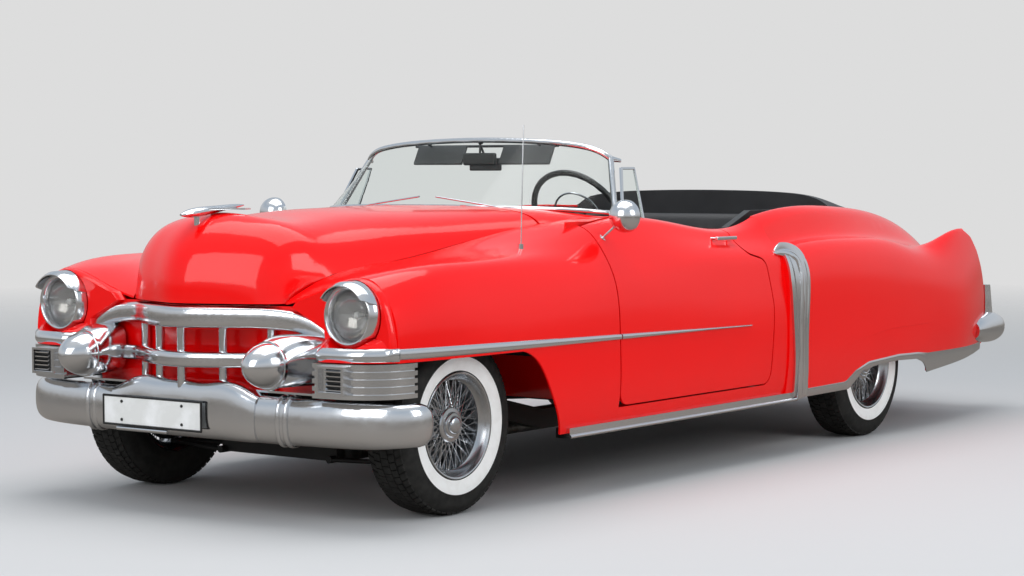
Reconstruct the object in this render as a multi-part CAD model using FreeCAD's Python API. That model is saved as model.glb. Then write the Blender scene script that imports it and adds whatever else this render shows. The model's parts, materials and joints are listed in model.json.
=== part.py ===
# Full-size American convertible of the early 1950s, in millimetres.
# +X is the car's left, the car faces -Y, +Z is up, and the floor is at Z = 0.
import FreeCAD, Part
import math
import os
from FreeCAD import Rotation, Vector

DOC = FreeCAD.newDocument("convertible")
SHEET = DOC.addObject("Spreadsheet::Sheet", "sizes")

# Driving dimensions, group by group: alias and value in millimetres or degrees.
SIZES = {
    # Whole car
    "overall_length": 5608, "overall_width": 2034, "wheelbase": 3200, "front_overhang": 785,
    "cowl_height": 1157, "skin": 8, "shut_gap": 6, "fit_gap": 0.3, "cut_margin": 60,
    # Wheels and tyres
    "tyre_radius": 342, "tyre_width": 208, "tread_width": 150, "rim_radius": 190, "rim_width": 176,
    "rim_wall": 8, "rim_flange": 13, "front_half_track": 741, "rear_half_track": 801,
    "hub_radius": 42, "hub_flange": 64, "hub_cap_radius": 34, "hub_reach": 70, "spoke_thick": 5,
    "drum_radius": 150, "drum_width": 46, "drum_offset": 51, "spindle_radius": 18,
    # Body side, from the lamp to the leading edge of the rear fender, then to the tail
    "side_front": 2500, "side_join": 205, "tail_length": 2500,
    "arch_top": 615, "arch_rear": 499, "crease_height": 935,
    # Doors
    "door_front": 1145, "door_bottom": 352, "door_corner": 55, "door_gap": 7, "door_recess": 12,
    "hinge_ahead": 72, "hinge_inset": 52, "hinge_pin_radius": 5, "hinge_low": 450, "hinge_high": 600,
    "hinge_tall": 60, "hinge_wall": 9, "hinge_neck": 85,
    "door_inner_top": 790, "door_inner_low": 862,
    # Hood, trunk lid and top cover
    "hood_pivot_y": 2300, "hood_pivot_z": 810, "hood_rear": 1250, "lid_gap": 8,
    "lid_hinge_back": 75, "lid_hinge_drop": 29, "lid_hinge_half": 220, "lid_pin_radius": 5,
    "lid_arm_depth": 95, "lid_arm_thick": 10, "cover_front": 1030, "cover_rear": 1290,
    "trunk_front": 1440, "trunk_pivot_y": 2230, "trunk_pivot_z": 560, "cover_hinge_half": 360,
    # Lamps
    "lamp_x": 756, "lamp_y": 2548, "lamp_z": 781, "lamp_radius": 92, "bezel_radius": 122,
    "bezel_depth": 62, "visor_reach": 36,
    # Bullets and bumpers
    "bullet_x": 482.5, "bullet_z": 598, "bullet_radius": 85, "bullet_nose": 112, "bullet_body": 190,
    "bumper_z": 388, "bumper_tall": 176, "bumper_deep": 104,
    "guard_x": 500, "guard_width": 34, "guard_proud": 10,
    "pod_x": 830, "pod_z": 452, "pod_radius": 86,
    # Grille
    "grille_front": 2675, "upper_bar_z": 759, "upper_bar_tall": 82, "upper_bar_deep": 70,
    "middle_bar_z": 600, "middle_bar_tall": 60, "post_radius": 18, "post_step": 166,
    "corner_top": 634, "corner_low": 486, "rib_count": 5, "rib_tall": 17,
    # Windshield
    "screen_base_y": 1155, "screen_base_z": 1150, "screen_base_half": 766, "screen_side_y": 854,
    "screen_top_y": 800, "screen_top_z": 1440, "screen_top_half": 670, "screen_head_y": 744,
    "glass_thick": 6, "frame_radius": 13,
    # Cabin
    "floor_height": 350, "floor_thick": 6, "firewall_y": 1120, "bulkhead_y": 1060,
    "wheel_rim_radius": 222, "wheel_grip": 14, "column_tilt": 30, "steering_x": 380,
    "steering_y": 575, "steering_z": 1100, "column_length": 610, "column_radius": 24,
}


def fill_sheet():
    """Write each driving dimension into the sheet and give its cell an alias."""
    row = 1
    for alias, value in SIZES.items():
        SHEET.set("A%d" % row, alias)
        SHEET.set("B%d" % row, str(value))
        SHEET.setAlias("B%d" % row, alias)
        row += 1
    DOC.recompute()


class SheetSizes:
    """Reads a driving dimension from the sheet by its alias, once."""

    def __getattr__(self, alias):
        value = float(SHEET.get(alias))
        setattr(self, alias, value)
        return value


fill_sheet()
mm = SheetSizes()
NODES = []
SLIVER_SHARE = 0.001

# Places worked out from the driving dimensions
HALF_LENGTH = mm.overall_length / 2
HALF_WIDTH = mm.overall_width / 2
FRONT_AXLE = mm.front_overhang - HALF_LENGTH
REAR_AXLE = FRONT_AXLE + mm.wheelbase
UP = Vector(0, 0, 1)
LEFT = Vector(1, 0, 0)
BACK = Vector(0, 1, 0)
ORIGIN = Vector(0, 0, 0)

# Body side sections from lamp to rear fender: a share of the run along the car, then points
# from the hood seam over the fender, down the side to the sill, as shares of width and height.
SIDE_SHARES = [
    (0.000, [(0.393, 0.704), (0.462, 0.719), (0.551, 0.745), (0.644, 0.775), (0.743, 0.793),
             (0.836, 0.769), (0.890, 0.704), (0.922, 0.553), (0.926, 0.432), (0.922, 0.328),
             (0.910, 0.233)]),
    (0.074, [(0.448, 0.788), (0.521, 0.782), (0.600, 0.791), (0.678, 0.804), (0.762, 0.814),
             (0.853, 0.811), (0.910, 0.743), (0.946, 0.557), (0.950, 0.432), (0.946, 0.328),
             (0.929, 0.233)]),
    (0.185, [(0.497, 0.825), (0.570, 0.821), (0.644, 0.821), (0.723, 0.825), (0.801, 0.828),
             (0.878, 0.821), (0.924, 0.752), (0.960, 0.553), (0.964, 0.432), (0.959, 0.328),
             (0.939, 0.233)]),
    (0.333, [(0.565, 0.886), (0.629, 0.880), (0.693, 0.873), (0.757, 0.866), (0.826, 0.851),
             (0.893, 0.819), (0.934, 0.752), (0.968, 0.549), (0.971, 0.432), (0.966, 0.328),
             (0.944, 0.233)]),
    (0.462, [(0.644, 0.938), (0.698, 0.932), (0.752, 0.920), (0.801, 0.903), (0.853, 0.869),
             (0.907, 0.812), (0.942, 0.748), (0.971, 0.546), (0.974, 0.432), (0.969, 0.328),
             (0.946, 0.233)]),
    (0.610, [(0.747, 0.961), (0.777, 0.958), (0.801, 0.951), (0.824, 0.938), (0.859, 0.895),
             (0.914, 0.811), (0.946, 0.748), (0.973, 0.545), (0.975, 0.432), (0.970, 0.328),
             (0.947, 0.233)]),
    (0.776, [(0.777, 0.925), (0.798, 0.922), (0.818, 0.916), (0.836, 0.904), (0.865, 0.868),
             (0.924, 0.808), (0.950, 0.743), (0.975, 0.543), (0.976, 0.432), (0.971, 0.328),
             (0.947, 0.233)]),
    (0.924, [(0.782, 0.904), (0.802, 0.901), (0.822, 0.895), (0.842, 0.884), (0.873, 0.852),
             (0.932, 0.802), (0.954, 0.739), (0.977, 0.542), (0.977, 0.432), (0.971, 0.328),
             (0.947, 0.233)]),
    (1.000, [(0.779, 0.944), (0.798, 0.939), (0.820, 0.928), (0.842, 0.907), (0.875, 0.860),
             (0.936, 0.797), (0.957, 0.735), (0.978, 0.542), (0.978, 0.432), (0.971, 0.328),
             (0.947, 0.233)]),
]

# Rear quarter sections from the leading edge of the rear fender to the tail, in the same way,
# from the deck seam over the valley and the fender's ridge down to the sill.
QUARTER_SHARES = [
    (0.000, [(0.779, 0.944), (0.800, 0.938), (0.824, 0.919), (0.844, 0.885), (0.863, 0.843),
             (0.890, 0.819), (0.929, 0.808), (0.964, 0.769), (0.984, 0.674), (0.985, 0.545),
             (0.983, 0.389), (0.959, 0.226)]),
    (0.129, [(0.777, 0.975), (0.796, 0.971), (0.818, 0.955), (0.836, 0.916), (0.853, 0.864),
             (0.880, 0.844), (0.919, 0.838), (0.962, 0.799), (0.988, 0.691), (0.988, 0.545),
             (0.985, 0.389), (0.964, 0.229)]),
    (0.346, [(0.739, 0.975), (0.760, 0.971), (0.784, 0.958), (0.806, 0.920), (0.828, 0.869),
             (0.859, 0.847), (0.907, 0.843), (0.956, 0.804), (0.987, 0.691), (0.989, 0.545),
             (0.987, 0.389), (0.969, 0.232)]),
    (0.521, [(0.688, 0.955), (0.710, 0.952), (0.733, 0.938), (0.759, 0.899), (0.787, 0.851),
             (0.826, 0.828), (0.880, 0.824), (0.939, 0.787), (0.979, 0.683), (0.986, 0.545),
             (0.985, 0.389), (0.969, 0.233)]),
    (0.695, [(0.629, 0.912), (0.654, 0.908), (0.678, 0.892), (0.710, 0.856), (0.747, 0.812),
             (0.794, 0.791), (0.853, 0.793), (0.919, 0.761), (0.967, 0.666), (0.979, 0.536),
             (0.977, 0.389), (0.962, 0.268)]),
    (0.826, [(0.585, 0.851), (0.612, 0.846), (0.641, 0.830), (0.678, 0.793), (0.726, 0.756),
             (0.787, 0.761), (0.857, 0.846), (0.908, 0.799), (0.946, 0.666), (0.961, 0.527),
             (0.959, 0.389), (0.942, 0.283)]),
    (0.913, [(0.556, 0.787), (0.582, 0.782), (0.612, 0.768), (0.651, 0.736), (0.703, 0.713),
             (0.772, 0.735), (0.848, 0.848), (0.893, 0.791), (0.918, 0.657), (0.926, 0.519),
             (0.922, 0.400), (0.908, 0.300)]),
    (1.000, [(0.531, 0.700), (0.558, 0.697), (0.587, 0.685), (0.629, 0.661), (0.688, 0.653),
             (0.762, 0.691), (0.832, 0.804), (0.860, 0.752), (0.871, 0.648), (0.876, 0.519),
             (0.872, 0.415), (0.862, 0.325)]),
]


def spline(points):
    """A smooth curve through the points."""
    curve = Part.BSplineCurve()
    curve.interpolate(points)
    return curve.toShape()


def closed_spline(points):
    """A smooth closed curve through the points."""
    curve = Part.BSplineCurve()
    curve.interpolate(Points=points, PeriodicFlag=True)
    return Part.Wire([curve.toShape()])


def line(start, end):
    return Part.LineSegment(start, end).toShape()


def flat_point(plane, level, pair):
    """The point of a pair of coordinates on a plane across X, Y or Z at a level."""
    if plane == "x":
        return Vector(level, pair[0], pair[1])
    if plane == "y":
        return Vector(pair[0], level, pair[1])
    return Vector(pair[0], pair[1], level)


def outline(plane, level, pairs, corner=0.0):
    """A closed outline with straight sides and, where a corner radius is given, round corners.
    A pair may carry a radius of its own as its third value."""
    count = len(pairs)
    places = [flat_point(plane, level, pair) for pair in pairs]
    starts = []
    ends = []
    middles = []
    for index, place in enumerate(places):
        radius = pairs[index][2] if len(pairs[index]) > 2 else corner
        before = (places[index - 1] - place).normalize()
        after = (places[(index + 1) % count] - place).normalize()
        half_turn = before.getAngle(after) / 2
        if radius <= 0 or half_turn > math.pi / 2 - 0.01:
            starts.append(place)
            ends.append(place)
            middles.append(None)
            continue
        reach = radius / math.tan(half_turn)
        centre = place + (before + after).normalize() * (radius / math.sin(half_turn))
        starts.append(place + before * reach)
        ends.append(place + after * reach)
        middles.append(centre + (place - centre).normalize() * radius)
    edges = []
    for index in range(count):
        if middles[index]:
            edges.append(Part.Arc(starts[index], middles[index], ends[index]).toShape())
        following = starts[(index + 1) % count]
        if ends[index].distanceToPoint(following) > 1e-6:
            edges.append(line(ends[index], following))
    return Part.Wire(edges)


def prism(plane, pairs, start, end, corner=0.0):
    """The outline's solid from one level to another."""
    face = Part.Face(outline(plane, start, pairs, corner))
    way = {"x": LEFT, "y": BACK, "z": UP}[plane]
    return face.extrude(way * (end - start))


def block(x0, x1, y0, y1, z0, z1, corner=0.0):
    """A box between two levels of each axis, its upright edges rounded where asked."""
    if corner:
        return prism("z", [(x0, y0), (x1, y0), (x1, y1), (x0, y1)], z0, z1, corner)
    return Part.makeBox(x1 - x0, y1 - y0, z1 - z0, Vector(x0, y0, z0))


def rod(start, end, radius):
    """A round bar between two points."""
    way = end - start
    return Part.makeCylinder(radius, way.Length, start, way)


def mirrored(shape):
    return shape.mirror(ORIGIN, LEFT)


def both(shape):
    """The left piece and its mirror image on the right."""
    return [shape, mirrored(shape)]


def solids_of(shape):
    """The solids of a shape, without slivers."""
    found = [solid for solid in shape.Solids if solid.Volume > SLIVER_SHARE * shape.Volume]
    return found[0] if len(found) == 1 else Part.makeCompound(found)


def fused(shapes):
    first = shapes[0]
    return solids_of(first.multiFuse(shapes[1:]).removeSplitter())


def node(label, shape):
    """Put one sub-part into the document under its own label."""
    if isinstance(shape, list):
        pieces = []
        for piece in shape:
            pieces.extend(piece.Solids)
        shape = pieces[0] if len(pieces) == 1 else Part.makeCompound(pieces)
    feature = DOC.addObject("Part::Feature", label)
    feature.Label = label
    feature.Shape = shape
    NODES.append(feature)
    return feature


def pair_nodes(label, shape):
    """A left node and its mirrored right node."""
    node(label + "_left", shape)
    node(label + "_right", mirrored(shape))


def largest(shape):
    return max(shape.Solids, key=lambda solid: solid.Volume)


def clear_of(panel, other):
    """The largest piece of a thin panel that stays outside another shape."""
    for _ in range(2):
        panel = largest(panel.cut(other))
    return panel


def made(label):
    """The shape of a sub-part that is already made."""
    return [item.Shape for item in NODES if item.Label == label][0]


# Body surfaces

def section_places(shares):
    return [(x * HALF_WIDTH, z * mm.cowl_height) for x, z in shares]


def offset_places(places, distance):
    """A section moved outwards along its own normal."""
    moved = []
    last = len(places) - 1
    for index, (x, z) in enumerate(places):
        x0, z0 = places[max(index - 1, 0)]
        x1, z1 = places[min(index + 1, last)]
        length = math.hypot(x1 - x0, z1 - z0)
        moved.append((x - (z1 - z0) / length * distance, z + (x1 - x0) / length * distance))
    return moved


def band_wire(outer, inner):
    """A thin closed section between an outer and an inner curve."""
    edges = [spline(outer), line(outer[-1], inner[-1]), spline(inner[::-1]), line(inner[0], outer[0])]
    return Part.Wire(edges)


def run_shares(rows):
    """How far along each row lies, as shares of the run down the middle of the rows."""
    middle = len(rows[0]) // 2
    lengths = [0.0]
    for before, after in zip(rows, rows[1:]):
        lengths.append(lengths[-1] + before[middle].distanceToPoint(after[middle]))
    return [length / lengths[-1] for length in lengths]


def woven_surface(rows):
    """A smooth surface through rows of points: curves across, then curves along."""
    across = run_shares([[row[index] for row in rows] for index in range(len(rows[0]))])
    along = run_shares(rows)
    row_poles = []
    for row in rows:
        curve = Part.BSplineCurve()
        curve.interpolate(Points=row, Parameters=across)
        row_poles.append(curve.getPoles())
    net = []
    for index in range(len(row_poles[0])):
        column = Part.BSplineCurve()
        column.interpolate(Points=[poles[index] for poles in row_poles], Parameters=along)
        net.append(column.getPoles())
    surface = Part.BSplineSurface()
    surface.buildFromPolesMultsKnots(net, curve.getMultiplicities(), column.getMultiplicities(),
                                     curve.getKnots(), column.getKnots(), False, False,
                                     curve.Degree, column.Degree)
    return surface


def sheet_solid(outer_rows, inner_rows):
    """The solid between two woven surfaces, closed by ruled edges."""
    surfaces = [woven_surface(rows) for rows in (outer_rows, inner_rows)]
    faces = [surface.toShape() for surface in surfaces]
    for side in range(4):
        edges = []
        for surface in surfaces:
            limit = surface.bounds()[side]
            curve = surface.uIso(limit) if side < 2 else surface.vIso(limit)
            edges.append(curve.toShape())
        faces.append(Part.makeRuledSurface(edges[0], edges[1]))
    shell = Part.Shell(faces)
    shell.sewShape()
    solid = Part.Solid(shell)
    if solid.Volume < 0:
        solid.reverse()
    return solid


def section_rows(table, start, end, offset):
    """Rows of points along the body side, each section moved outwards by an offset."""
    rows = []
    for share, shares in table:
        y = start + share * (end - start)
        places = offset_places(section_places(shares), offset)
        rows.append([Vector(x, y, z) for x, z in places])
    return rows


def side_run(table, start, end, outer, inner):
    """A skin along the body side, between two offsets from its surface."""
    return sheet_solid(section_rows(table, start, end, outer), section_rows(table, start, end, inner))


def side_solid(table, start, end, inset):
    """The body side, moved in by an inset, filled inwards well past its walls."""
    deep = 0.3 * HALF_WIDTH
    outer = section_rows(table, start, end, -inset)
    inner = []
    for row in outer:
        drop = (row[-1].z - row[0].z) / (len(row) - 1)
        inner.append([Vector(deep, row[0].y, row[0].z + index * drop) for index in range(len(row))])
    return sheet_solid(outer, inner)


def seam_reader(table, start, end):
    """Reads the first line of the sections as half width and height at a place along Y."""
    rows = section_rows(table, start, end, 0)
    curve = Part.BSplineCurve()
    curve.interpolate(Points=[row[0] for row in rows], Parameters=run_shares(rows))

    def read(y):
        low = 0.0
        high = 1.0
        for _ in range(40):
            middle = (low + high) / 2
            if curve.value(middle).y < y:
                low = middle
            else:
                high = middle
        point = curve.value(low)
        return point.x, point.z

    return read


SIDE_START = -mm.side_front
SIDE_END = mm.side_join
TAIL_END = mm.tail_length
FAR = HALF_WIDTH + mm.cut_margin
TOP = mm.cowl_height + mm.cut_margin

hood_seam = seam_reader(SIDE_SHARES, SIDE_START, SIDE_END)
deck_seam = seam_reader(QUARTER_SHARES, SIDE_END, TAIL_END)
side_skin = side_run(SIDE_SHARES, SIDE_START, SIDE_END, 0, -mm.skin)
side_trim = side_run(SIDE_SHARES, SIDE_START, SIDE_END, mm.skin, mm.fit_gap)
quarter_skin = side_run(QUARTER_SHARES, SIDE_END, TAIL_END, 0, -mm.skin)
side_body = side_solid(SIDE_SHARES, SIDE_START, SIDE_END, 0)
side_core = side_solid(SIDE_SHARES, SIDE_START, SIDE_END, mm.skin)


# Doors

def edge_shape(top, low, gap):
    """The rear shut line of a door from belt to sill, as pairs along Y and Z."""
    return [(-0.100 * HALF_WIDTH + gap, top), (-0.088 * HALF_WIDTH + gap, mm.crease_height + gap),
            (0.048 * HALF_WIDTH + gap, mm.crease_height + gap - 0.03 * mm.cowl_height),
            (0.082 * HALF_WIDTH + gap, 0.6 * mm.cowl_height),
            (0.050 * HALF_WIDTH + gap, low)]


def door_outline(gap):
    """The door's outline seen from the side, grown all round by a gap."""
    front = -mm.door_front - gap
    low = mm.door_bottom - gap
    rear = edge_shape(TOP, low, gap)
    corner = mm.door_corner + gap
    pairs = [(front, TOP, 0), (front, low, corner), (rear[-1][0], low, corner)]
    pairs += [(y, z, corner) for y, z in rear[-2:0:-1]]
    pairs.append((rear[0][0], TOP, 0))
    return pairs


def wall_region(inset):
    """What lies outboard of the slanted inner wall of doors and pillars."""
    pairs = [(mm.door_inner_top + inset, TOP), (mm.door_inner_top + inset, mm.crease_height),
             (mm.door_inner_low + inset, mm.door_bottom), (mm.door_inner_low + inset, 0),
             (FAR, 0), (FAR, TOP)]
    return prism("y", pairs, SIDE_START, SIDE_END)


def make_door():
    """A door: its skin out to the shut line and its box set back from it."""
    whole = side_body.common(prism("x", door_outline(0), 0.7 * HALF_WIDTH, FAR)).common(wall_region(0))
    rim = prism("x", door_outline(mm.fit_gap), 0.6 * HALF_WIDTH, FAR)
    rim = rim.cut(prism("x", door_outline(-mm.door_recess), 0.5 * HALF_WIDTH, FAR * 2))
    return solids_of(whole.cut(rim.common(side_core)))


HINGE_X = HALF_WIDTH - mm.hinge_inset
HINGE_Y = -mm.door_front - mm.hinge_ahead
HINGE_LEVELS = [mm.hinge_low, mm.hinge_high]
POST_OUTER = HINGE_X - mm.hinge_neck - mm.hinge_wall * 2 - mm.shut_gap * 2


def door_hinge_arm(level):
    """A gooseneck arm that passes inboard of the fender's rear edge."""
    low = level + mm.fit_gap
    high = level + mm.hinge_tall - mm.fit_gap
    barrel_radius = mm.hinge_pin_radius + mm.hinge_wall / 2
    wall = mm.hinge_wall
    inner = HINGE_X - mm.hinge_neck
    reach = -mm.door_front + mm.door_recess + mm.hinge_wall
    barrel = Part.makeCylinder(barrel_radius, high - low, Vector(HINGE_X, HINGE_Y, low))
    cross = block(inner, HINGE_X, HINGE_Y - wall / 2, HINGE_Y + wall / 2, low, high)
    tail = block(inner - wall / 2, inner + wall / 2, HINGE_Y - wall / 2, reach, low, high)
    bore = Part.makeCylinder(mm.hinge_pin_radius + mm.fit_gap, high - low, Vector(HINGE_X, HINGE_Y, low))
    return fused([barrel, cross, tail]).cut(bore)


def door_hinge_pin(level):
    """The pin on the post, held between two lugs."""
    wall = mm.hinge_wall
    barrel_radius = mm.hinge_pin_radius + wall / 2
    pieces = [Part.makeCylinder(mm.hinge_pin_radius, mm.hinge_tall, Vector(HINGE_X, HINGE_Y, level))]
    for low in (level - wall, level + mm.hinge_tall):
        pieces.append(block(POST_OUTER - wall, HINGE_X, HINGE_Y - barrel_radius,
                            HINGE_Y + barrel_radius, low, low + wall))
        pieces.append(Part.makeCylinder(barrel_radius, wall, Vector(HINGE_X, HINGE_Y, low)))
    return fused(pieces)


door_panel = make_door()
door_arms = [door_hinge_arm(level) for level in HINGE_LEVELS]
pair_nodes("door", fused([door_panel] + door_arms))


# Front fenders, rockers, lock pillars and quarter panels

def front_arch():
    """What the wheel opening and the space behind the bumper take from the fender."""
    y = FRONT_AXLE
    top = mm.arch_top
    pairs = [Vector(0, y + 0.43 * mm.arch_rear, top), Vector(0, y + 0.62 * mm.arch_rear, top * 0.93),
             Vector(0, y + 0.80 * mm.arch_rear, top * 0.72), Vector(0, y + 0.96 * mm.arch_rear, top * 0.47),
             Vector(0, y + mm.arch_rear, top * 0.3)]
    low = Vector(0, pairs[-1].y, 0)
    front_low = Vector(0, SIDE_START - mm.cut_margin, 0)
    front_top = Vector(0, SIDE_START - mm.cut_margin, top)
    edges = [spline(pairs), line(pairs[-1], low), line(low, front_low), line(front_low, front_top),
             line(front_top, pairs[0])]
    return Part.Face(Part.Wire(edges)).extrude(LEFT * FAR)


FENDER_REAR = -mm.door_front - mm.door_gap
LAMP_CENTRE = Vector(mm.lamp_x, 0, mm.lamp_z)
# The fender's chin over the corner grille: height, then its plan from the grille to the side.
CHIN_SHARES = [
    (0.533, [(0.602, -2.440), (0.618, -2.520), (0.652, -2.572), (0.740, -2.577), (0.840, -2.547),
             (0.897, -2.495), (0.9195, -2.458), (0.915, -2.440)]),
    (0.575, [(0.602, -2.440), (0.617, -2.514), (0.652, -2.565), (0.740, -2.570), (0.840, -2.541),
             (0.895, -2.491), (0.9175, -2.458), (0.913, -2.440)]),
    (0.606, [(0.602, -2.440), (0.612, -2.475), (0.652, -2.500), (0.740, -2.503), (0.840, -2.495),
             (0.888, -2.475), (0.9080, -2.458), (0.904, -2.440)])]


def chin_wire(height, shares, grow):
    """The chin's plan at one height, moved outwards."""
    places = [(x * HALF_WIDTH, y * HALF_WIDTH) for x, y in shares]
    points = [Vector(x, y, height * mm.cowl_height) for x, y in offset_places(places, -grow)]
    return Part.Wire([spline(points), line(points[-1], points[0])])


def lamp_surround():
    """The closed front of the fender round its lamp."""
    top = section_places(SIDE_SHARES[0][1])[1:8]
    low = [(0.922, 0.534), (0.604, 0.534), (0.592, 0.622), (0.430, 0.692)]
    places = top + section_places(low)
    wires = []
    for ahead, size in ((-0.010, 0.970), (0.003, 0.990), (0.018, 0.972), (0.030, 0.920)):
        y = SIDE_START - ahead * HALF_WIDTH
        moved = [LAMP_CENTRE + (Vector(x, 0, z) - LAMP_CENTRE) * size + BACK * y for x, z in places]
        count = len(top)
        edges = [spline(moved[:count])]
        edges += [line(moved[index - 1], moved[index]) for index in range(count, len(moved))]
        edges.append(line(moved[-1], moved[0]))
        wires.append(Part.Wire(edges))
    return Part.makeLoft(wires, True, False)


def make_fender():
    keep = block(0, FAR, SIDE_START - mm.cut_margin, FENDER_REAR, 0, TOP)
    skin = side_skin.common(keep).cut(front_arch())
    chin = Part.makeLoft([chin_wire(height, shares, 0) for height, shares in CHIN_SHARES], True, False)
    bore = rod(LAMP_CENTRE + BACK * (SIDE_START - mm.cut_margin * 3),
               LAMP_CENTRE + BACK * (SIDE_START + mm.cut_margin), mm.bezel_radius * 1.06 + mm.fit_gap)
    return solids_of(fused([skin, lamp_surround(), chin]).cut(bore))


pair_nodes("front_fender", make_fender())


def make_rocker():
    low = section_places(SIDE_SHARES[0][1])[-1][1]
    rear = SIDE_END - mm.fit_gap
    bar = block(0.9 * HALF_WIDTH, FAR, FENDER_REAR + mm.fit_gap, rear, low - mm.cut_margin,
                mm.door_bottom - mm.door_gap)
    return solids_of(side_body.common(bar))




def make_lock_pillar():
    """The body side between the door's rear shut line and the rear fender."""
    keep = block(0, FAR, -0.2 * HALF_WIDTH, SIDE_END - mm.fit_gap, mm.door_bottom - mm.door_gap, TOP)
    body = side_body.common(keep).common(wall_region(mm.skin))
    return solids_of(body.cut(prism("x", door_outline(mm.door_gap), 0, FAR)))


node("body_pillars", both(fused([make_rocker(), make_lock_pillar()])))


def skirt_outline(gap):
    """The outline of the fender skirt, grown by a gap."""
    y = REAR_AXLE
    front = y - 0.163 * mm.wheelbase - gap
    rear = y + 0.186 * mm.wheelbase + gap
    corner = mm.door_corner
    return [(front, 0, 0), (front, 0.345 * mm.cowl_height, corner),
            (y - 0.115 * mm.wheelbase, 0.425 * mm.cowl_height + gap, corner * 3),
            (y, 0.458 * mm.cowl_height + gap, corner * 3),
            (y + 0.150 * mm.wheelbase, 0.462 * mm.cowl_height + gap, corner),
            (rear, 0.36 * mm.cowl_height, corner), (rear, 0, 0)]


# The wheel opening under the skirt: shares of the wheelbase behind the axle and of the cowl height.
OPENING_SHARES = [(-0.120, 0.226), (-0.082, 0.299), (-0.025, 0.318), (0.034, 0.320), (0.100, 0.314),
                  (0.128, 0.299), (0.140, 0.255)]
OPENING = [(REAR_AXLE + along * mm.wheelbase, height * mm.cowl_height) for along, height in OPENING_SHARES]


def skirt_arch():
    """The low opening that the skirt leaves over the rear wheel."""
    points = [Vector(0, y, z) for y, z in OPENING]
    low = Vector(0, points[-1].y, 0)
    front = Vector(0, points[0].y, 0)
    edges = [spline(points), line(points[-1], low), line(low, front), line(front, points[0])]
    return Part.Face(Part.Wire(edges)).extrude(LEFT * FAR)


# The tail seen from the side, from the fin's top round to the low edge.
TAIL_SHARES = [(0.328, 0.850), (0.351, 0.819), (0.374, 0.754), (0.394, 0.672),
               (0.408, 0.600), (0.4122, 0.540)]
TAIL_PROFILE = [(REAR_AXLE + along * mm.wheelbase, height * mm.cowl_height) for along, height in TAIL_SHARES]
TAIL_REAR = TAIL_PROFILE[-1][0]


def tail_cut():
    """What the rounded rear of the tail fin takes away."""
    pairs = TAIL_PROFILE + [(TAIL_REAR, 0), (TAIL_END + mm.cut_margin, 0), (TAIL_END + mm.cut_margin, TOP),
                            (TAIL_PROFILE[0][0], TOP)]
    return prism("x", pairs, 0.5 * HALF_WIDTH, FAR)


def tail_wall():
    """The wall that closes the rear of the fender."""
    inner = offset_places(TAIL_PROFILE + [(TAIL_REAR, 0)], -mm.skin)
    pairs = TAIL_PROFILE + [(TAIL_REAR, 0)] + inner[::-1]
    return prism("x", pairs, 0.545 * HALF_WIDTH, FAR)


def make_quarter():
    """The quarter panel with the walls that close its leading edge and its tail."""
    skin = quarter_skin.cut(prism("x", skirt_outline(mm.fit_gap), 0.8 * HALF_WIDTH, FAR)).cut(tail_cut())
    core = side_solid(QUARTER_SHARES, SIDE_END, TAIL_END, mm.skin / 2)
    front = core.common(block(0.90 * HALF_WIDTH, FAR, SIDE_END, SIDE_END + mm.skin, 0, TOP))
    rear = core.common(tail_wall())
    return fused([skin, front, rear])


def make_skirt():
    piece = quarter_skin.common(prism("x", skirt_outline(0), 0.8 * HALF_WIDTH, FAR))
    return solids_of(piece.cut(skirt_arch()))


pair_nodes("quarter_panel", make_quarter())
node("fender_skirts", both(make_skirt()))


# Hood, cowl and deck

def arch_section(centre, direction, half, top, edge, inset, point=0.0):
    """One section of a crowned panel in a plane through a pivot line along X.
    Shares of the half width and of the rise from edge to top give its crown, which may run
    to a point in the middle."""
    crown_shares = [(-1.0, 0.0), (-0.955, 0.30), (-0.86, 0.62), (-0.68, 0.84), (-0.40, 0.955),
                    (0.0, 1.0), (0.40, 0.955), (0.68, 0.84), (0.86, 0.62), (0.955, 0.30), (1.0, 0.0)]
    places = []
    for x, rise in crown_shares:
        rise = rise * (1 - point) + point * (1 - abs(x))
        places.append((x * half, edge + rise * (top - edge)))
    moved = offset_places(places, -inset) if inset else places
    return [centre + LEFT * x + direction * r for x, r in moved]


def crowned_panel(sections):
    """A thin crowned panel through sections: centre, direction, half width, top, edge, point."""
    outer = [arch_section(*section[:5], 0, *section[5:]) for section in sections]
    inner = [arch_section(*section[:5], mm.skin, *section[5:]) for section in sections]
    return sheet_solid(outer, inner)


def turned(angle, sign):
    """The direction at an angle above the level, pointing forwards or rearwards."""
    return Vector(0, sign * math.cos(math.radians(angle)), math.sin(math.radians(angle)))


# Hood sections: the nose turns about its pivot line, then the sections run back upright.
HOOD_NOSE_SHARES = [(0, 0.383, 0.375, 0.185, 0.60), (22, 0.403, 0.392, 0.126, 0.42),
                    (45, 0.420, 0.385, 0.100, 0.24), (68, 0.432, 0.355, 0.090, 0.10)]
HOOD_BODY_SHARES = [(0.0, 0.975), (0.30, 0.988), (0.62, 0.997), (1.0, 1.0)]


def hood_sections():
    pivot = Vector(0, -mm.hood_pivot_y, mm.hood_pivot_z)
    sections = []
    for angle, half, top, edge, point in HOOD_NOSE_SHARES:
        sections.append((pivot, turned(angle, -1), half * HALF_WIDTH, top * HALF_WIDTH,
                         edge * HALF_WIDTH, point))
    rear = -mm.hood_rear
    for share, height in HOOD_BODY_SHARES:
        y = -mm.hood_pivot_y + share * (rear + mm.hood_pivot_y)
        half, edge = hood_seam(y)
        sections.append((Vector(0, y, 0), UP, half - mm.shut_gap, height * mm.cowl_height, edge))
    return sections


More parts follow.
